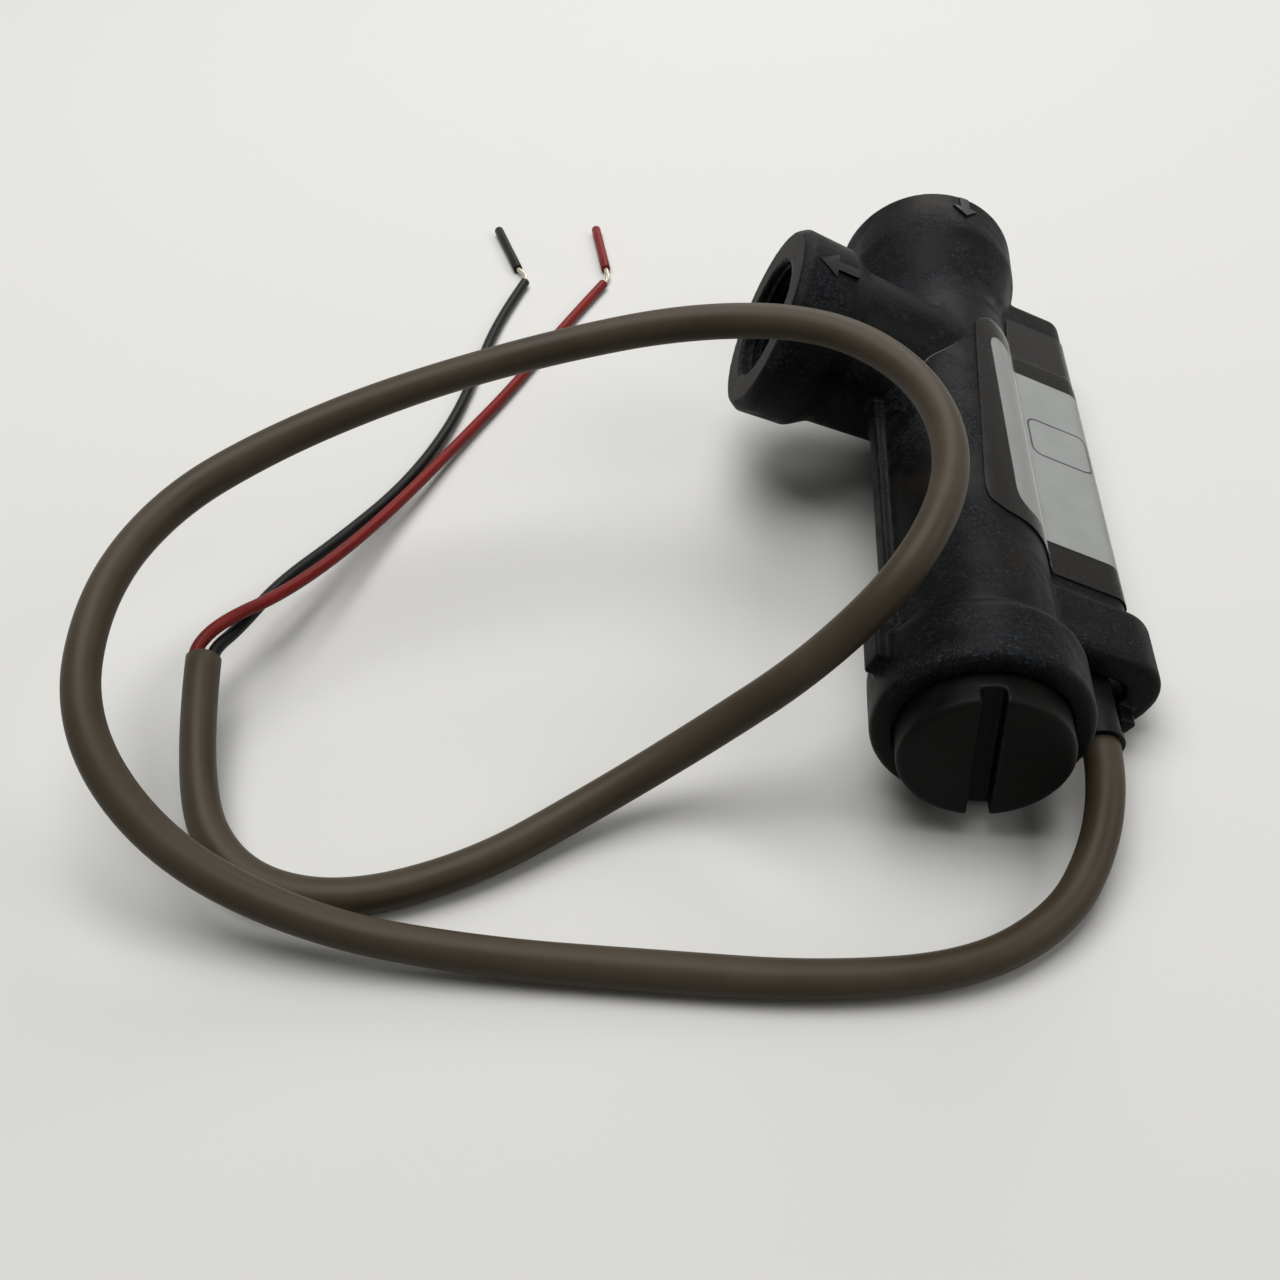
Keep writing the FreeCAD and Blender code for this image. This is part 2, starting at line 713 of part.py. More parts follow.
def inner_leads():
    """The two insulated cores inside the housing: black to the near crimp, red past the reed to the far one."""
    near_start, _, _, _ = crimp_stations()
    subpart("black_inner_lead", rod("BlackLeadInner", s.core_radius, s.cable_inner_end, near_start, x=s.reed_reach))
    subpart("red_inner_lead", red_lead("RedLeadInner"))


# ---------------------------------------------------------------- cable entry
def strain_sleeve():
    """The rubber sleeve over the cable, widening to a beaded lip."""
    bead_end = s.sleeve_tip + s.sleeve_bead_length
    sleeve = turned_solid("StrainSleeveRound", [
        (s.exit_reach + s.cable_radius, s.sleeve_tip),
        (s.exit_reach + s.sleeve_bead_radius, s.sleeve_tip),
        (s.exit_reach + s.sleeve_bead_radius, bead_end),
        (s.exit_reach + s.sleeve_tip_radius, bead_end),
        (s.exit_reach + s.sleeve_root_radius, s.sleeve_root),
        (s.exit_reach + s.cable_radius, s.sleeve_root),
    ], centre=(s.exit_reach, 0, 0))
    return subpart("strain_sleeve", sleeve)


def cable_potted_end():
    """The end of the cable that the sleeve and the potting hold."""
    return subpart("cable_potted_end", rod(
        "CablePottedEnd", s.cable_radius, s.sleeve_tip, s.cable_inner_end, x=s.exit_reach))


def potting():
    """The cast epoxy that fills the pocket round everything in it."""
    start, end = reed_stations()
    near_start, near_end, far_start, far_end = crimp_stations()
    mouth_end = s.hood_start + s.mouth_depth
    fill = fuse(
        "PottingFill",
        oval_bore("PottingMouth", s.mouth_half_length, s.mouth_half_height, s.hood_start + 0.8, mouth_end),
        oval_bore("PottingPocket", s.pocket_half_length, s.pocket_half_height, mouth_end, s.pocket_end,
                  x=s.reed_reach))
    return subpart("potting", cut(
        "Potting", fill,
        rod("RoomForGlass", s.glass_radius, start, end, x=s.reed_reach),
        rod("RoomForLeads", s.lead_radius, near_end, far_start, x=s.reed_reach),
        rod("RoomForNearCrimp", s.crimp_radius, near_start, near_end, x=s.reed_reach),
        rod("RoomForFarCrimp", s.crimp_radius, far_start, far_end, x=s.reed_reach),
        rod("RoomForBlack", s.core_radius, s.cable_inner_end, near_start, x=s.reed_reach),
        red_lead("RoomForRed"),
        rod("RoomForSleeve", s.sleeve_tip_radius, s.hood_start, s.sleeve_root, x=s.exit_reach),
        rod("RoomForCable", s.cable_radius, s.hood_start, s.cable_inner_end, x=s.exit_reach)))


# ---------------------------------------------------------------- label and film
def housing_jacket(name, inner, outer, start, end, inner_edge):
    """A thin wrap round the housing's outside between two offsets from it."""
    shells = []
    for label, offset, spare in (("Outer", outer, 0), ("Inner", inner, OVERRUN)):
        block = box(f"{name}{label}Block", (0, s.housing_reach + offset), (size(start) - spare, size(end) + spare),
                    (-s.housing_half_width - offset, s.housing_half_width + offset))
        shells.append(rounded(
            f"{name}{label}", block,
            (lambda e, o=offset: along_y(e) and near(e.BoundBox.XMin, (s.housing_reach + o).number),
             (s.housing_corner + offset).number)))
    band = cut(f"{name}Band", *shells)
    beyond = s.housing_reach + 2
    half = s.housing_half_width + 2
    return common(name, band, box(f"{name}Reach", (inner_edge, beyond), (start, end), (-half, half)))


def label_and_film():
    """The white printed label round the housing and the clear film that covers it."""
    subpart("label", housing_jacket("Label", size(0), s.label_thickness, s.label_start, s.label_end,
                                    s.label_inner_edge))
    subpart("label_film", housing_jacket("LabelFilm", s.label_thickness, s.label_thickness + s.film_thickness,
                                         s.film_start, s.film_end, s.label_inner_edge))


# ---------------------------------------------------------------- free cable
# Route points in the row frame, chosen by hand: along the floor in front of the body, up the left side,
# over the outlet and the tube, and back down to the stripped end.
CABLE_DIAMETER = 2 * SIZES["cable_radius"]
CABLE_ROUTE = [
    (27.251, -70.5, 10.733), (25.0, -82.0, 6.6), (18.3, -93.8, 3.8), (3.4, -103.9, 3.3), (-20.0, -107.8, 3.3),
    (-47.0, -108.0, 3.3), (-74.0, -108.0, 4.0), (-100.0, -106.5, 7.2), (-124.0, -100.2, 16.0),
    (-139.5, -85.5, 27.0), (-142.0, -63.5, 34.0), (-136.5, -41.5, 35.5), (-121.5, -26.0, 38.0),
    (-100.0, -14.5, 42.5), (-74.0, -5.5, 47.0), (-47.0, 1.0, 50.5), (-22.0, 0.5, 51.5),
    (-5.5, -13.5, 50.5), (-0.6, -36.5, 49.5), (-8.2, -58.5, 46.5), (-22.8, -66.5, 31.0),
    (-40.5, -69.0, 14.0), (-58.5, -77.5, 5.0), (-77.0, -91.5, 3.3), (-98.0, -100.0, 3.3),
    (-116.0, -96.5, 4.2), (-126.6, -81.2, 7.4), (-130.6, -56.2, 12.6),
]
BLACK_ROUTE = [
    (-129.28, -55.85, 11.97), (-129.6, -53.91, 12.37), (-127.3, -46.9, 10.8), (-124.0, -32.0, 8.8),
    (-116.6, -15.5, 5.9), (-108.0, 5.5, 3.1), (-102.3, 28.5, 1.6), (-99.8, 51.0, 1.35), (-98.0, 75.0, 1.35), (-93.8, 93.0, 1.35),
]
RED_ROUTE = [
    (-131.92, -56.55, 13.23), (-132.3, -54.23, 13.71), (-128.5, -48.4, 14.7), (-121.0, -37.6, 11.6),
    (-113.6, -18.5, 6.8), (-106.0, 3.0, 3.9), (-98.8, 24.5, 1.9), (-90.2, 46.5, 1.4), (-81.8, 72.0, 1.35), (-73.5, 93.8, 1.35),
]
BLACK_BARE_END, BLACK_TIP = (-96.5, 99.4, 1.3), (-104.6, 119.2, 1.25)
RED_BARE_END, RED_TIP = (-73.5, 101.2, 1.3), (-78.2, 121.8, 1.25)


def cord_path(points):
    """Straight runs joined by tangent arcs, each arc as large as its two runs allow."""
    points = [Vector(*p) for p in points]
    edges, radii, start = [], [], points[0]
    for before, corner, after in zip(points, points[1:], points[2:]):
        back, ahead = (before - corner), (after - corner)
        shorter = min(back.Length, ahead.Length)
        back.normalize()
        ahead.normalize()
        half_turn = (math.pi - back.getAngle(ahead)) / 2
        trim = 0.45 * shorter
        radii.append(trim / math.tan(half_turn))
        arc_start, arc_end = corner + back * trim, corner + ahead * trim
        bisector = back + ahead
        bisector.normalize()
        to_centre = radii[-1] / math.cos(half_turn)
        middle = corner + bisector * (to_centre - radii[-1])
        edges.append(Part.LineSegment(start, arc_start).toShape())
        edges.append(Part.Arc(arc_start, middle, arc_end).toShape())
        start = arc_end
    edges.append(Part.LineSegment(start, points[-1]).toShape())
    return Part.Wire(edges), radii


def cord(node, points, radius):
    """A plain round cord along a hand-chosen route."""
    path, radii = cord_path(points)
    direction = Vector(*points[1]) - Vector(*points[0])
    section = Part.Wire(Part.makeCircle(radius, Vector(*points[0]), direction))
    shape = path.makePipeShell([section], True, False)
    feature = doc.addObject("Part::Feature", node)
    feature.Shape = shape
    ratio = shape.Volume / (math.pi * radius ** 2 * path.Length)
    print(f"{node}: length {path.Length:.1f} mm, smallest radius {min(radii):.1f} mm, volume ratio {ratio:.4f}")
    print("  radii", " ".join(f"{r:.0f}" for r in radii))
    return subpart(node, feature)


def strands(node, start, end, core, slug_):
    """The bare conductor between a core and its slug: one wire in the middle and six round it."""
    start, end = Vector(*start), Vector(*end)
    axis = (end - start).normalize()
    side = axis.cross(Vector(0, 0, 1)).normalize()
    up = side.cross(axis)
    wire = SIZES["strand_radius"] / 3
    turns = [2 * math.pi * index / (SIZES["strand_count"] - 1) for index in range(SIZES["strand_count"] - 1)]
    offsets = [Vector()] + [(side * math.cos(turn) + up * math.sin(turn)) * (2 * wire) for turn in turns]
    wires = []
    for offset in offsets:
        whole = Part.makeCylinder(wire, (end - start).Length + 2 * OVERRUN, start - axis * OVERRUN + offset, axis)
        wires += whole.cut([core.Shape, slug_.Shape]).Solids
    middle = (start + end) / 2
    feature = doc.addObject("Part::Feature", node)
    reach = (end - start).Length / 2
    feature.Shape = Part.makeCompound([piece for piece in wires if (piece.CenterOfMass - middle).Length < reach])
    return subpart(node, feature)


def slug(node, start, end, radius):
    """The short length of insulation left on a conductor's tip."""
    start, end = Vector(*start), Vector(*end)
    feature = doc.addObject("Part::Feature", node)
    feature.Shape = Part.makeCylinder(radius, (end - start).Length, start, end - start)
    return subpart(node, feature)


# ---------------------------------------------------------------- laying the body down
REST_ROLL = 22.17        # degrees that the body rolls before its hood meets the surface


def lie_down():
    """Rolls every rigid piece onto the hood and moves the row's origin under the middle of them all."""
    roll = FreeCAD.Placement(Vector(), FreeCAD.Rotation(Vector(0, 1, 0), REST_ROLL))
    rigid = [obj for node, obj in SUBPARTS.items() if node not in CORD_NODES]
    bounds = FreeCAD.BoundBox()
    for obj in rigid:
        shape = obj.Shape.copy()
        shape.transformShape(roll.toMatrix())
        bounds.add(shape.optimalBoundingBox(False, False))
    shift = FreeCAD.Placement(Vector(-bounds.Center.x, -bounds.Center.y, -bounds.ZMin), FreeCAD.Rotation())
    laid = shift.multiply(roll)
    for obj in rigid:
        obj.setExpression("Placement", None)
        for axis in "xyz":
            obj.setExpression(f"Placement.Base.{axis}", None)
        obj.Placement = laid.multiply(obj.Placement)
    print("row origin in body axes:", -bounds.Center.x, -bounds.Center.y, -bounds.ZMin)
    return laid


def export():
    doc.recompute()
    faults = [obj.Name for obj in doc.Objects if {"Invalid", "Error"} & set(obj.State)]
    if faults:
        raise RuntimeError(f"features failed: {faults}")
    for node, obj in SUBPARTS.items():
        if obj.Shape.isNull() or not obj.Shape.isValid() or not obj.Shape.Solids:
            raise RuntimeError(f"{node}: bad shape")
    for node, obj in SUBPARTS.items():
        obj.Shape.exportStep(f"parts/{node}.step")
        print(f"{node}: {len(obj.Shape.Solids)} solids, {obj.Shape.Volume:.1f} mm3")


valve_body()
service_plug()
plug_o_ring()
shuttle()
shuttle_magnet()
magnet_retainer()
return_spring()
reed_glass()
fixed_reed()
moving_reed_lead()
moving_reed()
wire_crimps()
inner_leads()
strain_sleeve()
cable_potted_end()
potting()
label_and_film()
doc.recompute()
laid = lie_down()
cable_exit = laid.multVec(Vector(s.exit_reach.number, s.sleeve_tip.number, 0))
print("cable exit", cable_exit)
cord("cable_jacket", [tuple(cable_exit)] + CABLE_ROUTE, SIZES["cable_radius"])
black_core = cord("black_core", BLACK_ROUTE, SIZES["core_radius"])
red_core = cord("red_core", RED_ROUTE, SIZES["core_radius"])
black_slug = slug("black_tip_slug", BLACK_BARE_END, BLACK_TIP, SIZES["core_radius"])
red_slug = slug("red_tip_slug", RED_BARE_END, RED_TIP, SIZES["core_radius"])
strands("black_strands", BLACK_ROUTE[-1], BLACK_BARE_END, black_core, black_slug)
strands("red_strands", RED_ROUTE[-1], RED_BARE_END, red_core, red_slug)
export()
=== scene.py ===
"""Looks of a shuttle-type flow switch: moulded body, coin-slot plug, label, potted reed and free cable."""

from __future__ import annotations

import json
import logging
import math
from dataclasses import dataclass, field
from enum import Enum
from typing import Any, Callable, Sequence

import bmesh
import bpy
from mathutils import Matrix, Vector
from mathutils.bvhtree import BVHTree

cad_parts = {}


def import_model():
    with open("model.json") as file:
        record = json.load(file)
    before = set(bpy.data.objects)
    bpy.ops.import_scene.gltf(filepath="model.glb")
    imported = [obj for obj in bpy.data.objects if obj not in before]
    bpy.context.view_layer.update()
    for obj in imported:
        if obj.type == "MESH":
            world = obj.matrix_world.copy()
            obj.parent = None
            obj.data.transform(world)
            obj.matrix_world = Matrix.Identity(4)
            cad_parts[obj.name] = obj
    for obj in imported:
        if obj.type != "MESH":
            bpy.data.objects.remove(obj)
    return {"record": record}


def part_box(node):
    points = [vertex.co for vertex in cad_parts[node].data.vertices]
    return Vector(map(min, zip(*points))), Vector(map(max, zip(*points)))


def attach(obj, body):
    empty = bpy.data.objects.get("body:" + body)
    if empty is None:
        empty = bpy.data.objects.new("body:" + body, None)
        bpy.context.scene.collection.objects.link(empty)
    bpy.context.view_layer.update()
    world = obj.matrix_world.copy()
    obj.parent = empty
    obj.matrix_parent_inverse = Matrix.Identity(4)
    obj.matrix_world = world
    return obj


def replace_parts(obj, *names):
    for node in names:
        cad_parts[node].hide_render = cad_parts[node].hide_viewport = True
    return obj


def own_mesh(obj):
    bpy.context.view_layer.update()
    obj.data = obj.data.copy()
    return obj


LOG = logging.getLogger("flow_switch")
MM = 0.001

bpy.ops.wm.read_factory_settings(use_empty=True)
FRAME: dict[str, Any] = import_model()

Point = tuple[float, float, float]
Socket = bpy.types.NodeSocket
Tree = bpy.types.NodeTree


# ------------ colour and node helpers
def linear(colour: str, alpha: float = 1.0) -> tuple[float, float, float, float]:
    """Turns an sRGB hex colour into linear RGBA.

    Args:
        colour: Six hex digits after a hash.
        alpha: The fourth component.

    Returns:
        Linear red, green, blue and alpha.
    """
    parts = [int(colour[index : index + 2], 16) / 255 for index in (1, 3, 5)]
    red, green, blue = (c / 12.92 if c <= 0.04045 else ((c + 0.055) / 1.055) ** 2.4 for c in parts)
    return red, green, blue, alpha


def add_node(
    tree: Tree,
    kind: str,
    settings: dict[str, Any] | None = None,
    values: dict[str | int, Any] | None = None,
    links: dict[str | int, Socket] | None = None,
) -> bpy.types.Node:
    """Adds one shader node with its settings, unlinked values and incoming links.

    Args:
        tree: The node tree.
        kind: Blender's node type name.
        settings: Node properties by name.
        values: Input defaults by socket name or index.
        links: Sockets to link from, by input name or index.

    Returns:
        The new node.
    """
    node = tree.nodes.new(kind)
    for name, value in (settings or {}).items():
        setattr(node, name, value)
    for name, value in (values or {}).items():
        node.inputs[name].default_value = value
    for name, socket in (links or {}).items():
        tree.links.new(socket, node.inputs[name])
    return node


def blank_material(name: str) -> tuple[bpy.types.Material, Tree]:
    """Makes an empty node material.

    Args:
        name: The material's name.

    Returns:
        The material and its node tree.
    """
    material = bpy.data.materials.new(name)
    material.use_nodes = True
    material.node_tree.nodes.clear()
    return material, material.node_tree


def pattern(
    size_mm: float, detail: float, roughness: float, distortion: float = 0.0
) -> dict[str | int, Any]:
    """Gives a noise texture's values for features of about a real size.

    Args:
        size_mm: How wide one feature is on the real surface.
        detail: How many finer layers the noise has.
        roughness: How strong the finer layers are.
        distortion: How far the noise is bent.

    Returns:
        Values by socket name.
    """
    scale = 1 / (size_mm * MM)
    return {"Scale": scale, "Detail": detail, "Roughness": roughness, "Distortion": distortion}


def span_values(source: tuple[float, float], target: tuple[float, float]) -> dict[str | int, Any]:
    """Gives the values that carry one range over to another."""
    return {1: source[0], 2: source[1], 3: target[0], 4: target[1]}


# ------------ finishes
@dataclass(frozen=True)
class GlassFilledNylon:
    """Black glass-filled nylon, injection moulded.

    Fibres bloom at the skin as fine pale specks, thickest where the melt ran coldest, so the black is
    frosted in drifting patches, with warmer, barer black between them and a soft, broken gloss.
    """

    name: str = "glass_filled_nylon_moulded"
    deep: str = "#030303"
    warm: str = "#15100B"
    haze: str = "#1A1D21"
    speck: str = "#30343A"
    grain_mm: float = 0.45  # the real fibre ends are finer; drawn coarser so that they show at arm's length
    cloud_mm: float = 10.0
    roughness: tuple[float, float] = (0.40, 0.62)
    bump: float = 0.4
    specular: float = 0.07
    ripple_share: float = 0.9

    def material(self) -> bpy.types.Material:
        """Builds the node material: drifting frost and warm patches under a fine grain of specks.

        Returns:
            The material.
        """
        material, tree = blank_material(self.name)
        place = {"Vector": add_node(tree, "ShaderNodeTexCoord").outputs["Object"]}
        cloud, full = self.cloud_mm, (0.0, 1.0)

        # Frost lies in broad drifts that smaller drifts break up.
        noise = add_node(tree, "ShaderNodeTexNoise", values=pattern(cloud, 6.0, 0.62, 0.9), links=place)
        links = {0: noise.outputs[0]}
        frost = add_node(tree, "ShaderNodeMapRange", values=span_values((0.42, 0.64), full), links=links)
        noise = add_node(tree, "ShaderNodeTexNoise", values=pattern(cloud * 0.3, 5.0, 0.66, 1.8), links=place)
        links = {0: noise.outputs[0]}
        drift = add_node(tree, "ShaderNodeMapRange", values=span_values((0.44, 0.66), full), links=links)
        links = {0: frost.outputs[0], 1: drift.outputs[0]}
        frosted = add_node(tree, "ShaderNodeMath", {"operation": "MULTIPLY"}, links=links)

        # Between them the skin is barer and warmer.
        noise = add_node(tree, "ShaderNodeTexNoise", values=pattern(cloud * 1.7, 4.0, 0.6, 0.6), links=place)
        links = {0: noise.outputs[0]}
        bare = add_node(tree, "ShaderNodeMapRange", values=span_values((0.50, 0.66), full), links=links)

        # Fibre ends are pale specks, thickest where the frost is.
        grain = add_node(tree, "ShaderNodeTexNoise", values=pattern(self.grain_mm, 2.0, 0.7), links=place)
        links = {0: grain.outputs[0]}
        fibres = add_node(tree, "ShaderNodeMapRange", values=span_values((0.55, 0.68), full), links=links)
        links = {0: frost.outputs[0]}
        crowd = add_node(tree, "ShaderNodeMapRange", values=span_values(full, (0.25, 1.0)), links=links)
        links = {0: fibres.outputs[0], 1: crowd.outputs[0]}
        specks = add_node(tree, "ShaderNodeMath", {"operation": "MULTIPLY"}, links=links)

        colour, below = {"data_type": "RGBA"}, {6: linear(self.deep), 7: linear(self.warm)}
        ground = add_node(tree, "ShaderNodeMix", colour, below, {0: bare.outputs[0]})
        links = {0: frosted.outputs[0], 6: ground.outputs[2]}
        hazed = add_node(tree, "ShaderNodeMix", colour, {7: linear(self.haze)}, links)
        links = {0: specks.outputs[0], 6: hazed.outputs[2]}
        skin = add_node(tree, "ShaderNodeMix", colour, {7: linear(self.speck)}, links)

        # The mould's slow ripple and the fibres' grain bend the gloss together.
        ripple = add_node(
            tree, "ShaderNodeTexNoise", values=pattern(cloud * 0.5, 3.0, 0.5, 1.2), links=place
        )
        add, share = {"operation": "MULTIPLY_ADD"}, {1: self.ripple_share}
        height = add_node(tree, "ShaderNodeMath", add, share, {0: ripple.outputs[0], 2: grain.outputs[0]})
        relief = {"Strength": self.bump, "Distance": 0.12 * MM}
        normal = add_node(tree, "ShaderNodeBump", values=relief, links={"Height": height.outputs[0]})
        links = {0: frost.outputs[0]}
        gloss = add_node(tree, "ShaderNodeMapRange", values=span_values(full, self.roughness), links=links)
        shader = add_node(
            tree,
            "ShaderNodeBsdfPrincipled",
            values={"IOR": 1.5, "Specular IOR Level": self.specular},
            links={
                "Base Color": skin.outputs[2],
                "Roughness": gloss.outputs[0],
                "Normal": normal.outputs[0],
            },
        )
        add_node(tree, "ShaderNodeOutputMaterial", links={"Surface": shader.outputs[0]})
        return material


@dataclass(frozen=True)
class SmoothPlastic:
    """Unfilled plastic or rubber, moulded or extruded: even colour with a faint cloud and a fine skin."""

    name: str
    colour: str
    shade: str
    roughness: float
    ior: float = 1.5
    skin_mm: float = 0.6  # the real skin is finer; drawn coarser so that it shows
    bump: float = 0.05
    cloud_mm: float = 6.0
    specular: float = 0.35

    def material(self) -> bpy.types.Material:
        """Builds the node material: a faint cloud in colour and gloss, and a fine skin.

        Returns:
            The material.
        """
        material, tree = blank_material(self.name)
        place = {"Vector": add_node(tree, "ShaderNodeTexCoord").outputs["Object"]}
        noise = add_node(tree, "ShaderNodeTexNoise", values=pattern(self.cloud_mm, 4.0, 0.55), links=place)
        cloud = {0: noise.outputs[0]}
        tone = add_node(
            tree, "ShaderNodeMapRange", values=span_values((0.35, 0.65), (0.0, 1.0)), links=cloud
        )
        shades = {6: linear(self.colour), 7: linear(self.shade)}
        colour = add_node(tree, "ShaderNodeMix", {"data_type": "RGBA"}, shades, {0: tone.outputs[0]})
        span = (self.roughness - 0.05, min(1.0, self.roughness + 0.07))
        gloss = add_node(tree, "ShaderNodeMapRange", values=span_values((0.3, 0.7), span), links=cloud)
        skin = add_node(tree, "ShaderNodeTexNoise", values=pattern(self.skin_mm, 2.0, 0.6), links=place)
        relief = {"Strength": self.bump, "Distance": 0.1 * MM}
        normal = add_node(tree, "ShaderNodeBump", values=relief, links={"Height": skin.outputs[0]})
        shader = add_node(
            tree,
            "ShaderNodeBsdfPrincipled",
            values={"IOR": self.ior, "Specular IOR Level": self.specular},
            links={
                "Base Color": colour.outputs[2],
                "Roughness": gloss.outputs[0],
                "Normal": normal.outputs[0],
            },
        )
        add_node(tree, "ShaderNodeOutputMaterial", links={"Surface": shader.outputs[0]})
        return material


@dataclass(frozen=True)
class Metal:
    """Bare or plated metal: drawn, rolled or sintered, with a fine grain across its work direction."""

    name: str
    colour: str
    shade: str
    roughness: float
    grain_mm: float = 0.5  # the real drawing lines are finer; drawn coarser so that they show

    def material(self) -> bpy.types.Material:
        """Builds the node material: one grain moves the colour, the gloss and the surface.

        Returns:
            The material.
        """
        material, tree = blank_material(self.name)
        place = {"Vector": add_node(tree, "ShaderNodeTexCoord").outputs["Object"]}
        noise = add_node(tree, "ShaderNodeTexNoise", values=pattern(self.grain_mm, 3.0, 0.6), links=place)
        grain = {0: noise.outputs[0]}
        shades = {6: linear(self.colour), 7: linear(self.shade)}
        colour = add_node(tree, "ShaderNodeMix", {"data_type": "RGBA"}, shades, grain)
        span = (self.roughness - 0.05, self.roughness + 0.08)
        gloss = add_node(tree, "ShaderNodeMapRange", values=span_values((0.3, 0.7), span), links=grain)
        relief = {"Strength": 0.06, "Distance": 0.05 * MM}
        normal = add_node(tree, "ShaderNodeBump", values=relief, links={"Height": noise.outputs[0]})
        shader = add_node(
            tree,
            "ShaderNodeBsdfPrincipled",
            values={"Metallic": 1.0},
            links={
                "Base Color": colour.outputs[2],
                "Roughness": gloss.outputs[0],
                "Normal": normal.outputs[0],
            },
        )
        add_node(tree, "ShaderNodeOutputMaterial", links={"Surface": shader.outputs[0]})
        return material


@dataclass(frozen=True)
class ClearSheet:
    """Clear film or glass: nearly all light goes through, and only its gloss and a faint tint show."""

    name: str
    tint: str
    roughness: float
    ior: float
    ripple_mm: float = 5.0

    def material(self) -> bpy.types.Material:
        """Builds the node material: a see-through tint with a gloss that grows towards grazing.

        Returns:
            The material.
        """
        material, tree = blank_material(self.name)
        place = {"Vector": add_node(tree, "ShaderNodeTexCoord").outputs["Object"]}
        ripple = add_node(tree, "ShaderNodeTexNoise", values=pattern(self.ripple_mm, 2.0, 0.5), links=place)
        relief = {"Strength": 0.12, "Distance": 0.2 * MM}
        normal = add_node(tree, "ShaderNodeBump", values=relief, links={"Height": ripple.outputs[0]})
        span, links = (self.roughness, self.roughness + 0.08), {0: ripple.outputs[0]}
        sheen = add_node(tree, "ShaderNodeMapRange", values=span_values((0.3, 0.7), span), links=links)
        clear = add_node(tree, "ShaderNodeBsdfTransparent", values={"Color": linear(self.tint)})
        white = {"Color": linear("#FFFFFF")}
        links = {"Roughness": sheen.outputs[0], "Normal": normal.outputs[0]}
        gloss = add_node(tree, "ShaderNodeBsdfAnisotropic", values=white, links=links)
        links = {"Normal": normal.outputs[0]}
        share = add_node(tree, "ShaderNodeFresnel", values={"IOR": self.ior}, links=links)
        links = {0: share.outputs[0], 1: clear.outputs[0], 2: gloss.outputs[0]}
        shader = add_node(tree, "ShaderNodeMixShader", links=links)
        add_node(tree, "ShaderNodeOutputMaterial", links={"Surface": shader.outputs[0]})
        return material


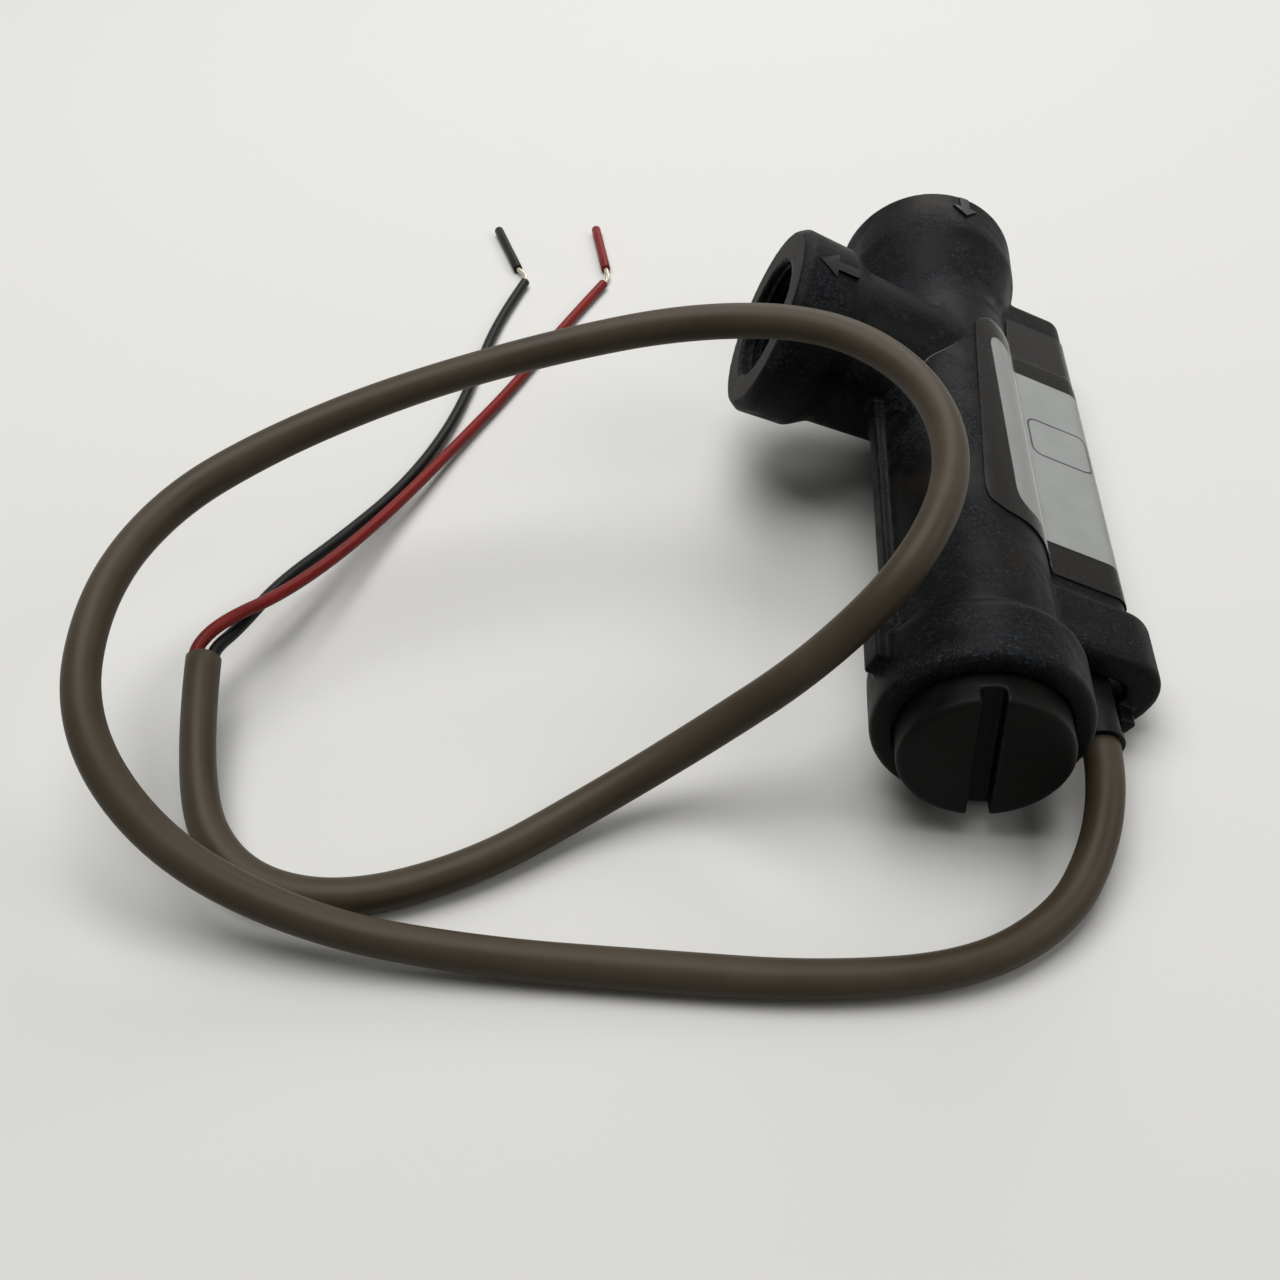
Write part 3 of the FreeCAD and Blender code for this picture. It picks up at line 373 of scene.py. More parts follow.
class Finish(Enum):
    """Every finish on the switch, by what the real one is."""

    # Moulded black nylon with glass fibre: dull black, frosted pale where fibres reach the skin.
    BODY = GlassFilledNylon()
    # The same nylon where the gate was trimmed flat: paler and duller than the moulded skin.
    PORT_FACE = SmoothPlastic(
        "nylon_gate_trimmed", "#1E1C1A", "#262422", 0.6, skin_mm=0.5, bump=0.18, specular=0.12
    )
    # The same nylon against a polished part of the mould: a raised mark, blacker and glossier.
    MARK = SmoothPlastic("nylon_raised_mark_polished", "#0A0A0B", "#101012", 0.26, specular=0.3)
    # Nylon where two melt fronts met in the mould: a thin pale line.
    KNIT = SmoothPlastic("nylon_knit_line", "#5E5F5E", "#6C6D6C", 0.5, specular=0.25)
    # Glass-filled nylon from a fine satin mould: deep even black with a low sheen.
    PLUG = SmoothPlastic(
        "glass_filled_nylon_plug_satin", "#060505", "#0C0A08", 0.46, bump=0.14, skin_mm=0.5, specular=0.08
    )
    # Clear adhesive that wets the nylon under the film: smooth, glossy, brownish black. Past the film, on the
    # housing's flat top, the same brownish black is painted reflection: the dark brown that face reflects.
    ADHESIVE_AND_REFLECTION = SmoothPlastic(
        "adhesive_and_painted_reflection", "#0A0706", "#15100D", 0.26,
        skin_mm=6.0, bump=0.02, cloud_mm=9.0, specular=0.14,
    )
    # Painted shadow: a thin dark outline round the label, the shade in the gap where the film and its
    # adhesive bridge over the paper's edge.
    LABEL_EDGE_SHADOW = SmoothPlastic("painted_shadow_at_label_edge", "#060505", "#0A0908", 0.4, specular=0.15)
    # Moulded nitrile rubber: even charcoal with a soft sheen.
    NITRILE = SmoothPlastic("nitrile_rubber_moulded", "#151515", "#1C1C1C", 0.5)
    # Turned natural acetal: creamy white, waxy, faintly marked by the tool.
    ACETAL = SmoothPlastic("acetal_turned", "#BDB9AE", "#CBC8BE", 0.34, skin_mm=0.3)
    # Sintered ferrite magnet: dark grey and slightly gritty.
    FERRITE = SmoothPlastic("ferrite_sintered", "#2E2E31", "#3A3A3D", 0.55, ior=1.9, skin_mm=0.4, bump=0.2)
    # Drawn stainless wire: bright grey with sharp highlights.
    SPRING = Metal("stainless_wire_drawn", "#A9A9A6", "#8F8F8D", 0.24)
    # Plated nickel-iron blade: pale warm grey, fairly bright.
    REED = Metal("nickel_iron_plated", "#B9B4A4", "#9F9A8C", 0.3)
    # Tinned brass crimp: pale straw metal.
    CRIMP = Metal("brass_crimp_tinned", "#B7A684", "#9C8C6C", 0.34)
    # Tinned copper strand, drawn and twisted: silvery with a warm tinge, grained along each wire.
    COPPER = Metal("copper_strand_tinned", "#DAD4C8", "#B9AFA0", 0.42, grain_mm=0.25)
    # Drawn soda glass: clear with a faint green tint and sharp highlights.
    GLASS = ClearSheet("soda_glass_drawn", "#D5E2DA", 0.04, 1.5)
    # Cast potting epoxy: flat, black and glossy.
    EPOXY = SmoothPlastic("epoxy_cast", "#121214", "#1A1A1C", 0.25)
    # Moulded rubber sleeve: black with a soft, low sheen.
    SLEEVE = SmoothPlastic("rubber_sleeve_moulded", "#080808", "#0E0E0F", 0.42, specular=0.10)
    # PVC jacket extruded over twisted cores: grey-brown, low sheen, slightly uneven along its length.
    JACKET = SmoothPlastic(
        "pvc_jacket_extruded", "#393125", "#443B2F", 0.44,
        skin_mm=1.2, bump=0.12, cloud_mm=18.0, specular=0.16,
    )
    # Extruded PVC insulation: smooth black, semi-gloss.
    BLACK_PVC = SmoothPlastic("pvc_insulation_black", "#0D0B0B", "#141212", 0.38, specular=0.15)
    # Extruded PVC insulation: smooth deep red, semi-gloss.
    RED_PVC = SmoothPlastic("pvc_insulation_red", "#6A1511", "#781C17", 0.40, specular=0.15)
    # Coated paper, printed grey: flat, even and matt under the film.
    LABEL = SmoothPlastic("coated_paper_label", "#929493", "#989A99", 0.55, skin_mm=0.3, bump=0.03)
    # Printed rule: thin dark grey ink, as matt as the paper.
    INK = SmoothPlastic("printed_rule_ink", "#3A3B3D", "#434446", 0.5)
    # Clear polyester film: seen only by its faint gloss, since the adhesive behind it takes the rest.
    FILM = ClearSheet("polyester_film", "#FAFAF9", 0.3, 1.09)


_MADE: dict[str, bpy.types.Material] = {}


def dress(piece: bpy.types.Object, finish: Finish) -> bpy.types.Object:
    """Puts one finish on a whole piece; its material is built the first time.

    Args:
        piece: The piece to dress.
        finish: The finish to put on it.

    Returns:
        The same piece.
    """
    if finish.name not in _MADE:
        _MADE[finish.name] = finish.value.material()
    piece.data.materials.clear()
    piece.data.materials.append(_MADE[finish.name])
    return piece


# ------------ the row frame and the body's own axes
@dataclass(frozen=True)
class BodyAxes:
    """The body's own axes: X to the housing, Y from the plug collar to the inlet, Z square to both."""

    matrix: Matrix
    port_radius: float
    outlet_station: float
    outlet_reach: float
    body_length: float

    @classmethod
    def from_frame(cls) -> BodyAxes:
        """Reads the axes and the ports from the record's mounts and the body's box.

        Returns:
            The axes, whose matrix takes body millimetres to row metres.
        """
        ports = {mount["name"]: mount for mount in FRAME["record"]["mounts"]}
        inlet, outlet = Vector(ports["inlet_port"]["pos_m"]), Vector(ports["outlet_port"]["pos_m"])
        outward = Vector(ports["outlet_port"]["axis"]).normalized()
        low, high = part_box("valve_body")
        origin = Vector((inlet.x, low[1], inlet.z))
        roll = Matrix.Rotation(math.atan2(outward.z, -outward.x), 4, "Y")
        half_bore = ports["outlet_port"]["dims"]["length_mm"] / 2
        return cls(
            matrix=Matrix.Translation(origin) @ roll @ Matrix.Scale(MM, 4),
            port_radius=ports["inlet_port"]["dims"]["r_mm"],
            outlet_station=(outlet.y - origin.y) / MM,
            outlet_reach=(outlet - origin).dot(outward) / MM + half_bore,
            body_length=(high[1] - low[1]) / MM,
        )


AXES = BodyAxes.from_frame()


def mesh_piece(
    name: str,
    vertices: Sequence[Vector | Point],
    faces: Sequence[Sequence[int]],
    finish: Finish,
    to_row: Matrix | None = None,
    smooth: bool = True,
) -> bpy.types.Object:
    """Makes a mesh piece from points and faces, dresses it and lets it ride on the valve.

    Args:
        name: The piece's name.
        vertices: Points in millimetres, in the body's axes unless to_row says otherwise.
        faces: Vertex indices of each face.
        finish: What it is made of.
        to_row: The matrix to row metres.
        smooth: Whether faces shade smoothly.

    Returns:
        The new object.
    """
    mesh = bpy.data.meshes.new(name)
    mesh.from_pydata([tuple(v) for v in vertices], [], [tuple(f) for f in faces])
    mesh.transform(AXES.matrix if to_row is None else to_row)
    mesh.validate()
    tidy_normals(mesh)
    mesh.shade_smooth() if smooth else mesh.shade_flat()
    piece = bpy.data.objects.new(name, mesh)
    bpy.context.scene.collection.objects.link(piece)
    dress(piece, finish)
    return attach(piece, "valve")


def tidy_normals(mesh: bpy.types.Mesh) -> None:
    """Points all face normals outwards.

    Args:
        mesh: The mesh to change.
    """
    work = bmesh.new()
    work.from_mesh(mesh)
    bmesh.ops.recalc_face_normals(work, faces=work.faces)
    work.to_mesh(mesh)
    work.free()


def ring_points(centre: Vector, across: Vector, up: Vector, radius: float, count: int) -> list[Vector]:
    """Gives a circle of points about a centre."""
    turns = [2 * math.pi * index / count for index in range(count)]
    return [centre + across * (radius * math.cos(t)) + up * (radius * math.sin(t)) for t in turns]


def bridged(rings: int, count: int, closed: bool = True, capped: bool = True) -> list[list[int]]:
    """Gives the faces of a tube of rings, each of count points.

    Args:
        rings: How many rings there are.
        count: Points in each ring.
        closed: Whether each ring closes on itself.
        capped: Whether the first and last ring get a face.

    Returns:
        Lists of vertex indices.
    """
    faces: list[list[int]] = []
    last = count if closed else count - 1
    for first in range(0, (rings - 1) * count, count):
        for index in range(last):
            after = (index + 1) % count
            faces.append([first + index, first + after, first + count + after, first + count + index])
    if capped:
        faces.append(list(range(count - 1, -1, -1)))
        faces.append([(rings - 1) * count + index for index in range(count)])
    return faces


def copy_of_node(node: str, name: str, body: str, finish: Finish) -> bpy.types.Object:
    """Copies a CAD node's mesh into a new piece that stands for it.

    Args:
        node: The CAD node's name.
        name: The new piece's name.
        body: The moving body that carries it.
        finish: Its finish.

    Returns:
        The new piece.
    """
    source = bpy.data.objects[node]
    piece = bpy.data.objects.new(name, source.data.copy())
    bpy.context.scene.collection.objects.link(piece)
    dress(piece, finish)
    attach(piece, body)
    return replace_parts(piece, node)


def softened(piece: bpy.types.Object, voxel_mm: float, passes: int) -> bpy.types.Object:
    """Rounds every edge of a piece by a fraction of a millimetre, as a mould's radii do.

    Args:
        piece: The piece, whose mesh is replaced.
        voxel_mm: The grain of the new mesh.
        passes: How often the new mesh is smoothed.

    Returns:
        The piece.
    """
    skin = piece.modifiers.new("skin", "REMESH")
    skin.mode = "VOXEL"
    skin.voxel_size = voxel_mm * MM * 1
    soften = piece.modifiers.new("soften", "SMOOTH")
    soften.factor = 0.5
    soften.iterations = passes
    graph = bpy.context.evaluated_depsgraph_get()
    mesh = bpy.data.meshes.new_from_object(piece.evaluated_get(graph))
    piece.modifiers.clear()
    piece.data = mesh
    mesh.shade_smooth()
    return piece


# ------------ moulded body
class Port(Enum):
    """The two threaded openings of the moulding."""

    INLET = "inlet"
    OUTLET = "outlet"


@dataclass(frozen=True)
class ArrowSize:
    """One flow arrow's sizes in millimetres, and its place round the surface that it stands on."""

    surface_radius: float
    length: float
    head_width: float
    degrees_round: float


@dataclass
class MouldedBody:
    """The one-piece moulding with its port threads, flow arrows and knit line."""

    voxel_mm: float = 0.42
    port_radius: float = AXES.port_radius
    thread_pitch: float = 1.814
    thread_height: float = 1.0
    thread_outline: tuple[float, float, float] = (0.35, 0.75, 0.12)  # root's depth, half foot, half crest
    outlet_thread: tuple[float, float] = (9.0, 1.6)  # turns, and how far inside the mouth they begin
    inlet_thread: tuple[float, float] = (11.0, 1.8)
    lead_in: float = 0.9
    outlet_face_radius: float = 18.3
    boss_radius: float = 19.7
    outlet_trim_inset: float = 0.5  # how far the trimmed ring stays inside the outer edge
    inlet_trim_inset: float = 1.5
    trim_skin: float = 0.03
    trim_foot: float = 0.25
    outlet_station: float = AXES.outlet_station
    outlet_reach: float = AXES.outlet_reach
    body_length: float = AXES.body_length
    mark_height: float = 0.42
    mark_sunk: float = 0.4
    outlet_arrow: ArrowSize = ArrowSize(19.15, 8.6, 6.2, -12.0)
    outlet_arrow_x: float = -29.4
    inlet_arrow: ArrowSize = ArrowSize(19.5, 7.6, 5.6, 94.0)
    inlet_arrow_y: float = 144.2
    knit_start: Point = (-14.2, 81.6, 30.0)
    knit_end: Point = (-5.0, 91.2, 30.0)
    knit_sunk: float = 0.05
    knit_proud: float = 0.09

    def build(self) -> list[bpy.types.Object]:
        """Builds every piece of the moulding.

        Returns:
            The pieces.
        """
        shell = copy_of_node("valve_body", "moulded_shell", "valve", Finish.BODY)
        softened(shell, self.voxel_mm, passes=5)
        collar = Matrix.Translation((self.outlet_arrow_x, self.outlet_station, 0))
        collar = collar @ Matrix.Rotation(-math.pi / 2, 4, "Y")
        boss = Matrix.Translation((0, self.inlet_arrow_y, 0)) @ Matrix.Rotation(math.pi / 2, 4, "X")
        outlet_turns, outlet_depth = self.outlet_thread
        inlet_turns, inlet_depth = self.inlet_thread
        outlet_ring = self.outlet_face_radius - self.outlet_trim_inset
        inlet_ring = self.boss_radius - self.inlet_trim_inset
        return [
            shell,
            self.thread("outlet_port_thread", outlet_turns, self.mouth(Port.OUTLET, outlet_depth)),
            self.thread("inlet_port_thread", inlet_turns, self.mouth(Port.INLET, inlet_depth)),
            self.knit_line(shell),
            self.arrow("outlet_flow_arrow", self.outlet_arrow, collar),
            self.arrow("inlet_flow_arrow", self.inlet_arrow, boss),
            self.face_ring("outlet_face_ring", outlet_ring, self.mouth(Port.OUTLET)),
            self.face_ring("inlet_face_ring", inlet_ring, self.mouth(Port.INLET)),
        ]

    def mouth(self, port: Port, depth: float = 0.0) -> Matrix:
        """Gives the matrix from a port's own axes, Z out of its mouth, to body millimetres.

        Args:
            port: Which opening.
            depth: How far inside the mouth the axes stand, in millimetres.

        Returns:
            The matrix.
        """
        if port is Port.OUTLET:
            at = Matrix.Translation((depth - self.outlet_reach, self.outlet_station, 0))
            return at @ Matrix.Rotation(-math.pi / 2, 4, "Y")
        return Matrix.Translation((0, self.body_length - depth, 0)) @ Matrix.Rotation(-math.pi / 2, 4, "X")

    def thread(self, name: str, turns: float, place: Matrix) -> bpy.types.Object:
        """Builds an internal taper pipe thread as a helical ridge in a bore.

        Args:
            name: The piece's name.
            turns: How many turns show.
            place: The matrix from the bore's own axes, Z out of the mouth, to body millimetres.

        Returns:
            The thread's ridge.
        """
        per_turn, section = 72, 4
        root, foot, flat = self.thread_outline
        steps = int(turns * per_turn)
        vertices: list[Vector] = []
        for step in range(steps + 1):
            turn = 2 * math.pi * step / per_turn
            along = -self.thread_pitch * step / per_turn
            crest = self.thread_height * min(1.0, step / 20, (steps - step) / 20)
            outline = ((root, -foot), (-crest, -flat), (-crest, flat), (root, foot))
            for inward, offset in outline:
                radius = self.port_radius + inward
                across, up = radius * math.cos(turn), radius * math.sin(turn)
                vertices.append(place @ Vector((across, up, along + offset)))
        return mesh_piece(name, vertices, bridged(steps + 1, section), Finish.BODY, smooth=False)

    def knit_line(self, shell: bpy.types.Object) -> bpy.types.Object:
        """The pale raised line where two melt fronts met, in the corner between the neck and the tube.

        Args:
            shell: The moulding that the line lies on.

        Returns:
            The line.
        """
        tree = BVHTree.FromObject(shell, bpy.context.evaluated_depsgraph_get())
        down = (AXES.matrix.to_3x3() @ Vector((0, 0, -1))).normalized()
        back = AXES.matrix.inverted()
        start, end, steps = Vector(self.knit_start), Vector(self.knit_end), 40
        points: list[tuple[Vector, Vector]] = []
        for share in (step / steps for step in range(steps + 1)):
            above = start.lerp(end, share) + Vector((0.35 * math.sin(9 * share), 0, 0))
            hit, normal, *_ = tree.ray_cast(AXES.matrix @ above, down)
            points.append((back @ hit, (back.to_3x3() @ normal).normalized()))
        vertices: list[Vector] = []
        for index, (point, outward) in enumerate(points):
            along = (points[min(index + 1, steps)][0] - points[max(index - 1, 0)][0]).normalized()
            share = index / steps
            width = 0.05 + 0.13 * math.sin(math.pi * share) * (0.5 + 0.5 * share)
            across, foot = along.cross(outward).normalized() * width, point - outward * self.knit_sunk
            vertices += [foot - across, point + outward * self.knit_proud, foot + across]
        return mesh_piece("knit_line", vertices, bridged(steps + 1, 3), Finish.KNIT)

    def face_ring(self, name: str, outer: float, place: Matrix) -> bpy.types.Object:
        """Builds the flat, paler ring round a port's mouth, where the flash was trimmed.

        Args:
            name: The piece's name.
            outer: The ring's outer radius.
            place: The matrix from the bore's own axes, Z out of the mouth, to body millimetres.

        Returns:
            The ring, a skin on the moulding's end.
        """
        inner, skin, foot, count = self.port_radius + self.lead_in, self.trim_skin, -self.trim_foot, 96
        stations = ((inner, foot), (inner, skin), (outer, skin), (outer, foot))
        across, up = Vector((1, 0, 0)), Vector((0, 1, 0))
        vertices: list[Vector] = []
        for radius, height in stations:
            ring = ring_points(Vector((0, 0, height)), across, up, radius, count)
            vertices += [place @ point for point in ring]
        faces = bridged(len(stations), count, capped=False)
        faces += [[3 * count + k, 3 * count + (k + 1) % count, (k + 1) % count, k] for k in range(count)]
        return mesh_piece(name, vertices, faces, Finish.PORT_FACE, smooth=False)

    def arrow(self, name: str, size: ArrowSize, place: Matrix) -> bpy.types.Object:
        """Builds a raised flow arrow wrapped on a round surface.

        Args:
            name: The piece's name.
            size: Its sizes and its place round the surface.
            place: The matrix from the surface's own axes, Z along it, to body millimetres.

        Returns:
            The arrow.
        """
        radius, length = size.surface_radius, size.length
        half, stem, head = size.head_width / 2, size.head_width * 0.19, length * 0.46
        outline = [
            (0.0, -stem), (length - head, -stem), (length - head, -half), (length, 0.0),
            (length - head, half), (length - head, stem), (0.0, stem),
        ]
        dense: list[tuple[float, float]] = []
        for (a, b), (c, d) in zip(outline, outline[1:] + outline[:1]):
            dense += [(a + (c - a) * k / 4, b + (d - b) * k / 4) for k in range(4)]
        work = bmesh.new()
        base = work.faces.new([work.verts.new((radius - self.mark_sunk, b, a)) for a, b in dense])
        raised = bmesh.ops.extrude_face_region(work, geom=[base])["geom"]
        for vertex in (item for item in raised if isinstance(item, bmesh.types.BMVert)):
            vertex.co.x = radius + self.mark_height
        bmesh.ops.triangulate(work, faces=work.faces[:])
        bmesh.ops.subdivide_edges(work, edges=work.edges[:], cuts=1)
        for vertex in work.verts:
            reach, angle = vertex.co.x, vertex.co.y / radius
            vertex.co.x, vertex.co.y = reach * math.cos(angle), reach * math.sin(angle)
        vertices = [vertex.co.copy() for vertex in work.verts]
        work.verts.index_update()
        faces = [[vertex.index for vertex in face.verts] for face in work.faces]
        work.free()
        to_row = AXES.matrix @ place @ Matrix.Rotation(math.radians(size.degrees_round), 4, "Z")
        return mesh_piece(name, vertices, faces, Finish.MARK, to_row, smooth=False)


# ------------ service plug
@dataclass
class ServicePlug:
    """The coin-slotted plug; its seal is dressed with the inner works."""

    voxel_mm: float = 0.30

    def build(self) -> list[bpy.types.Object]:
        """Builds the plug with softened rims."""
        plug = copy_of_node("service_plug", "plug_moulding", "plug", Finish.PLUG)
        return [softened(plug, self.voxel_mm, passes=4)]


# ------------ cable
def nurbs_line(
    name: str, points_mm: Sequence[Point], radius_mm: float, resolution: int = 12
) -> bpy.types.Object:
    """Makes a smooth round cord whose control points are a route's points.

    Args:
        name: The piece's name.
        points_mm: The route, in row millimetres.
        radius_mm: The cord's radius.
        resolution: Curve steps for each span.

    Returns:
        The curve object, not yet riding.
    """
    data = bpy.data.curves.new(name, "CURVE")
    data.dimensions = "3D"
    data.resolution_u = resolution
    data.bevel_depth = radius_mm * MM
    data.bevel_resolution = 7
    data.use_fill_caps = True
    line = data.splines.new("NURBS")
    line.points.add(len(points_mm) - 1)
    for control, point in zip(line.points, points_mm):
        control.co = (*(value * MM for value in point), 1.0)
    line.order_u = 3
    line.use_endpoint_u = True
    piece = bpy.data.objects.new(name, data)
    bpy.context.scene.collection.objects.link(piece)
    return piece


def curve_points(line: bpy.types.Object) -> list[Vector]:
    """Reads the points along a curve with no bevel, in metres, and removes the curve.

    Args:
        line: The curve; it is gone afterwards.

    Returns:
        The points in order.
    """
    line.data.bevel_depth = 0.0
    mesh = bpy.data.meshes.new_from_object(line.evaluated_get(bpy.context.evaluated_depsgraph_get()))
    points = [vertex.co.copy() for vertex in mesh.vertices]
    bpy.data.objects.remove(line)
    bpy.data.meshes.remove(mesh)
    return points


def straight_frame(start: Vector, end: Vector) -> tuple[Vector, Vector, Vector]:
    """Gives the unit axis from start to end and two unit directions across it.

    Args:
        start: Where the straight begins.
        end: Where it ends.

    Returns:
        The axis, a level direction across it and the direction across both.
    """
    along = (end - start).normalized()
    side = along.cross(Vector((0, 0, 1))).normalized()
    return along, side, side.cross(along).normalized()


@dataclass
class StrippedCore:
    """One insulated core from the jacket's end to its bared tip."""

    colour: str
    finish: Finish
    route: list[Point]
    bare_end: Point
    tip: Point
    length: float
    radius: float = 1.2
    strand_radius: float = 0.21
    strand_bow: float = 0.7
    strand_lay_mm: float = 11.0
    slug_edge: float = 0.25

    def build(self) -> list[bpy.types.Object]:
        """Builds the insulated core, its strands and the slug of insulation on the tip.

        Returns:
            The pieces.
        """
        core = dress(nurbs_line(f"{self.colour}_core_line", self.route, self.radius), self.finish)
        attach(core, "valve")
        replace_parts(core, f"{self.colour}_core")
        strands, slug = self.strands(), self.slug()
        return [core, strands, slug]

    def strands(self) -> bpy.types.Object:
        """Builds seven wires, six of them twisted round the middle one.

        Returns:
            The strands as one piece.
        """
        start, end = Vector(self.route[-1]), Vector(self.bare_end)
        along, side, up = straight_frame(start, end)
        reach = (end - start).length
        steps, count = 14, 8
        vertices: list[Vector] = []
        faces: list[list[int]] = []
        for wire in range(7):
            first = len(vertices)
            for step in range(steps + 1):
                share = step / steps
                turn = 2 * math.pi * (wire / 6 + share * reach / self.strand_lay_mm)
                spread = 0.0 if wire == 6 else 2 * self.strand_radius
                spread *= 1 + 0.10 * math.sin(math.pi * share)
                bow = side * (self.strand_bow * math.sin(math.pi * share) * math.sin(2.2 * share + 0.6))
                centre = start + along * (share * reach) + bow
                centre += (side * math.cos(turn) + up * math.sin(turn)) * spread
                vertices += ring_points(centre, side, up, self.strand_radius, count)
            faces += [[first + index for index in face] for face in bridged(steps + 1, count)]
        name = f"{self.colour}_strands_twisted"
        piece = mesh_piece(name, vertices, faces, Finish.COPPER, Matrix.Scale(MM, 4))
        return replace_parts(piece, f"{self.colour}_strands")

    def slug(self) -> bpy.types.Object:
        """Builds the slug with its cut ends softly rounded.

        Returns:
            The slug.
        """
        start, end = Vector(self.bare_end), Vector(self.tip)
        along, side, up = straight_frame(start, end)
        reach, count = (end - start).length, 28
        soft = self.slug_edge
        edge = [(0.0, self.radius - soft), (soft * 0.3, self.radius - soft * 0.3), (soft, self.radius)]
        waves = [(share, 1 + 0.015 * math.sin(9 * share)) for share in (0.25, 0.5, 0.75)]
        stations = edge + [(reach * share, self.radius * wave) for share, wave in waves]
        stations += [(reach - distance, radius) for distance, radius in reversed(edge)]
        vertices: list[Vector] = []
        for distance, radius in stations:
            vertices += ring_points(start + along * distance, side, up, radius, count)
        faces = bridged(len(stations), count)
        name = f"{self.colour}_slug_cut"
        piece = mesh_piece(name, vertices, faces, self.finish, Matrix.Scale(MM, 4))
        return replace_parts(piece, f"{self.colour}_tip_slug")


@dataclass
class Cable:
    """The free two-core cable, from the sleeve's lip to its stripped end.

    Its jacket is drawn over two twisted cores, so its section is a little oval and turns slowly with them.
    """

    radius: float = 3.15
    length: float = 616.0
    oval: float = 0.028
    lay_mm: float = 92.0
    wall_mm: float = 0.9
    end_round: float = 0.3
    route: list[Point] = field(
        default_factory=lambda: [
            (27.251, -63.0, 10.733), (27.251, -70.5, 10.733), (25.0, -82.0, 6.6), (18.3, -93.8, 3.8),
            (3.4, -103.9, 3.3), (-20.0, -107.8, 3.3), (-47.0, -108.0, 3.3), (-74.0, -108.0, 4.0),
            (-100.0, -106.5, 7.2), (-124.0, -100.2, 16.0), (-139.5, -85.5, 27.0), (-142.0, -63.5, 34.0),
            (-136.5, -41.5, 35.5), (-121.5, -26.0, 38.0), (-100.0, -14.5, 42.5), (-74.0, -5.5, 47.0),
            (-47.0, 1.0, 50.5), (-22.0, 0.5, 51.5), (-5.5, -13.5, 50.5), (-0.6, -36.5, 49.5),
            (-8.2, -58.5, 46.5), (-22.8, -66.5, 31.0), (-40.5, -69.0, 14.0), (-58.5, -77.5, 5.0),
            (-77.0, -91.5, 3.3), (-98.0, -100.0, 3.3), (-116.0, -96.5, 4.2), (-126.6, -81.2, 7.4),
            (-130.6, -56.2, 12.6),
        ]
    )

    def section(self, distance: float, turn: float) -> float:
        """Gives the jacket's radius in millimetres at a distance along it and an angle round it.

        Args:
            distance: How far along the jacket, in millimetres.
            turn: The angle round it, in radians.

        Returns:
            The radius.
        """
        twist = 2 * math.pi * distance / self.lay_mm
        swell = 0.006 * math.sin(distance / 13.0) + 0.004 * math.sin(distance / 5.1 + 1.3)
        return self.radius * (1 + self.oval * math.cos(2 * turn - twist) + swell)

    def build(self) -> list[bpy.types.Object]:
        """Returns:
            The pieces.
        """
        line = curve_points(nurbs_line("cable_route_line", self.route, 0.0, 16))
        count, last = 32, len(line) - 1
        travelled = [0.0]
        for before, after in zip(line, line[1:]):
            travelled.append(travelled[-1] + (after - before).length)
        rows: list[tuple[Vector, Vector, float, float]] = []
        for index, point in enumerate(line):
            along = (line[min(index + 1, last)] - line[max(index - 1, 0)]).normalized()
            rows.append((point, along, travelled[index] / MM, 1.0))
        tip, along, distance, _ = rows.pop()
        inset = tip - along * self.end_round * MM
        soft, inner = 1 - self.end_round / self.radius, 1 - self.wall_mm / self.radius
        for point, share in ((inset, 1.0), (tip, soft), (tip, inner), (inset, inner)):
            rows.append((point, along, distance, share))
        vertices: list[Vector] = []
        side = straight_frame(line[0], line[1])[1]
        for point, along, distance, share in rows:
            side = (side - along * side.dot(along)).normalized()
            up = side.cross(along)
            for turn in (2 * math.pi * step / count for step in range(count)):
                reach = self.section(distance, turn) * share * MM
                vertices.append(point + side * (reach * math.cos(turn)) + up * (reach * math.sin(turn)))
        faces = bridged(len(rows), count)
        metres = Matrix.Identity(4)
        jacket = mesh_piece("cable_jacket_line", vertices, faces, Finish.JACKET, metres)
        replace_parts(jacket, "cable_jacket")
        return [jacket]


def stripped_cores() -> list[StrippedCore]:
    """Gives the cable's two cores.

    Returns:
        The black core and the red one.
    """
    return [
        StrippedCore(
            "black",
            Finish.BLACK_PVC,
            [
                (-129.28, -55.85, 11.97), (-129.6, -53.91, 12.37), (-127.3, -46.9, 10.8),
                (-124.0, -32.0, 8.8), (-116.6, -15.5, 5.9), (-108.0, 5.5, 3.1), (-102.3, 28.5, 1.6),
                (-99.8, 51.0, 1.35), (-98.0, 75.0, 1.35), (-93.8, 93.0, 1.35),
            ],
            (-96.5, 99.4, 1.3),
            (-104.6, 119.2, 1.25),
            154.6,
        ),
        StrippedCore(
            "red",
            Finish.RED_PVC,
            [
                (-131.92, -56.55, 13.23), (-132.3, -54.23, 13.71), (-128.5, -48.4, 14.7),
                (-121.0, -37.6, 11.6), (-113.6, -18.5, 6.8), (-106.0, 3.0, 3.9), (-98.8, 24.5, 1.9),
                (-90.2, 46.5, 1.4), (-81.8, 72.0, 1.35), (-73.5, 93.8, 1.35),
            ],
            (-73.5, 101.2, 1.3),
            (-78.2, 121.8, 1.25),
            163.0,
        ),
    ]


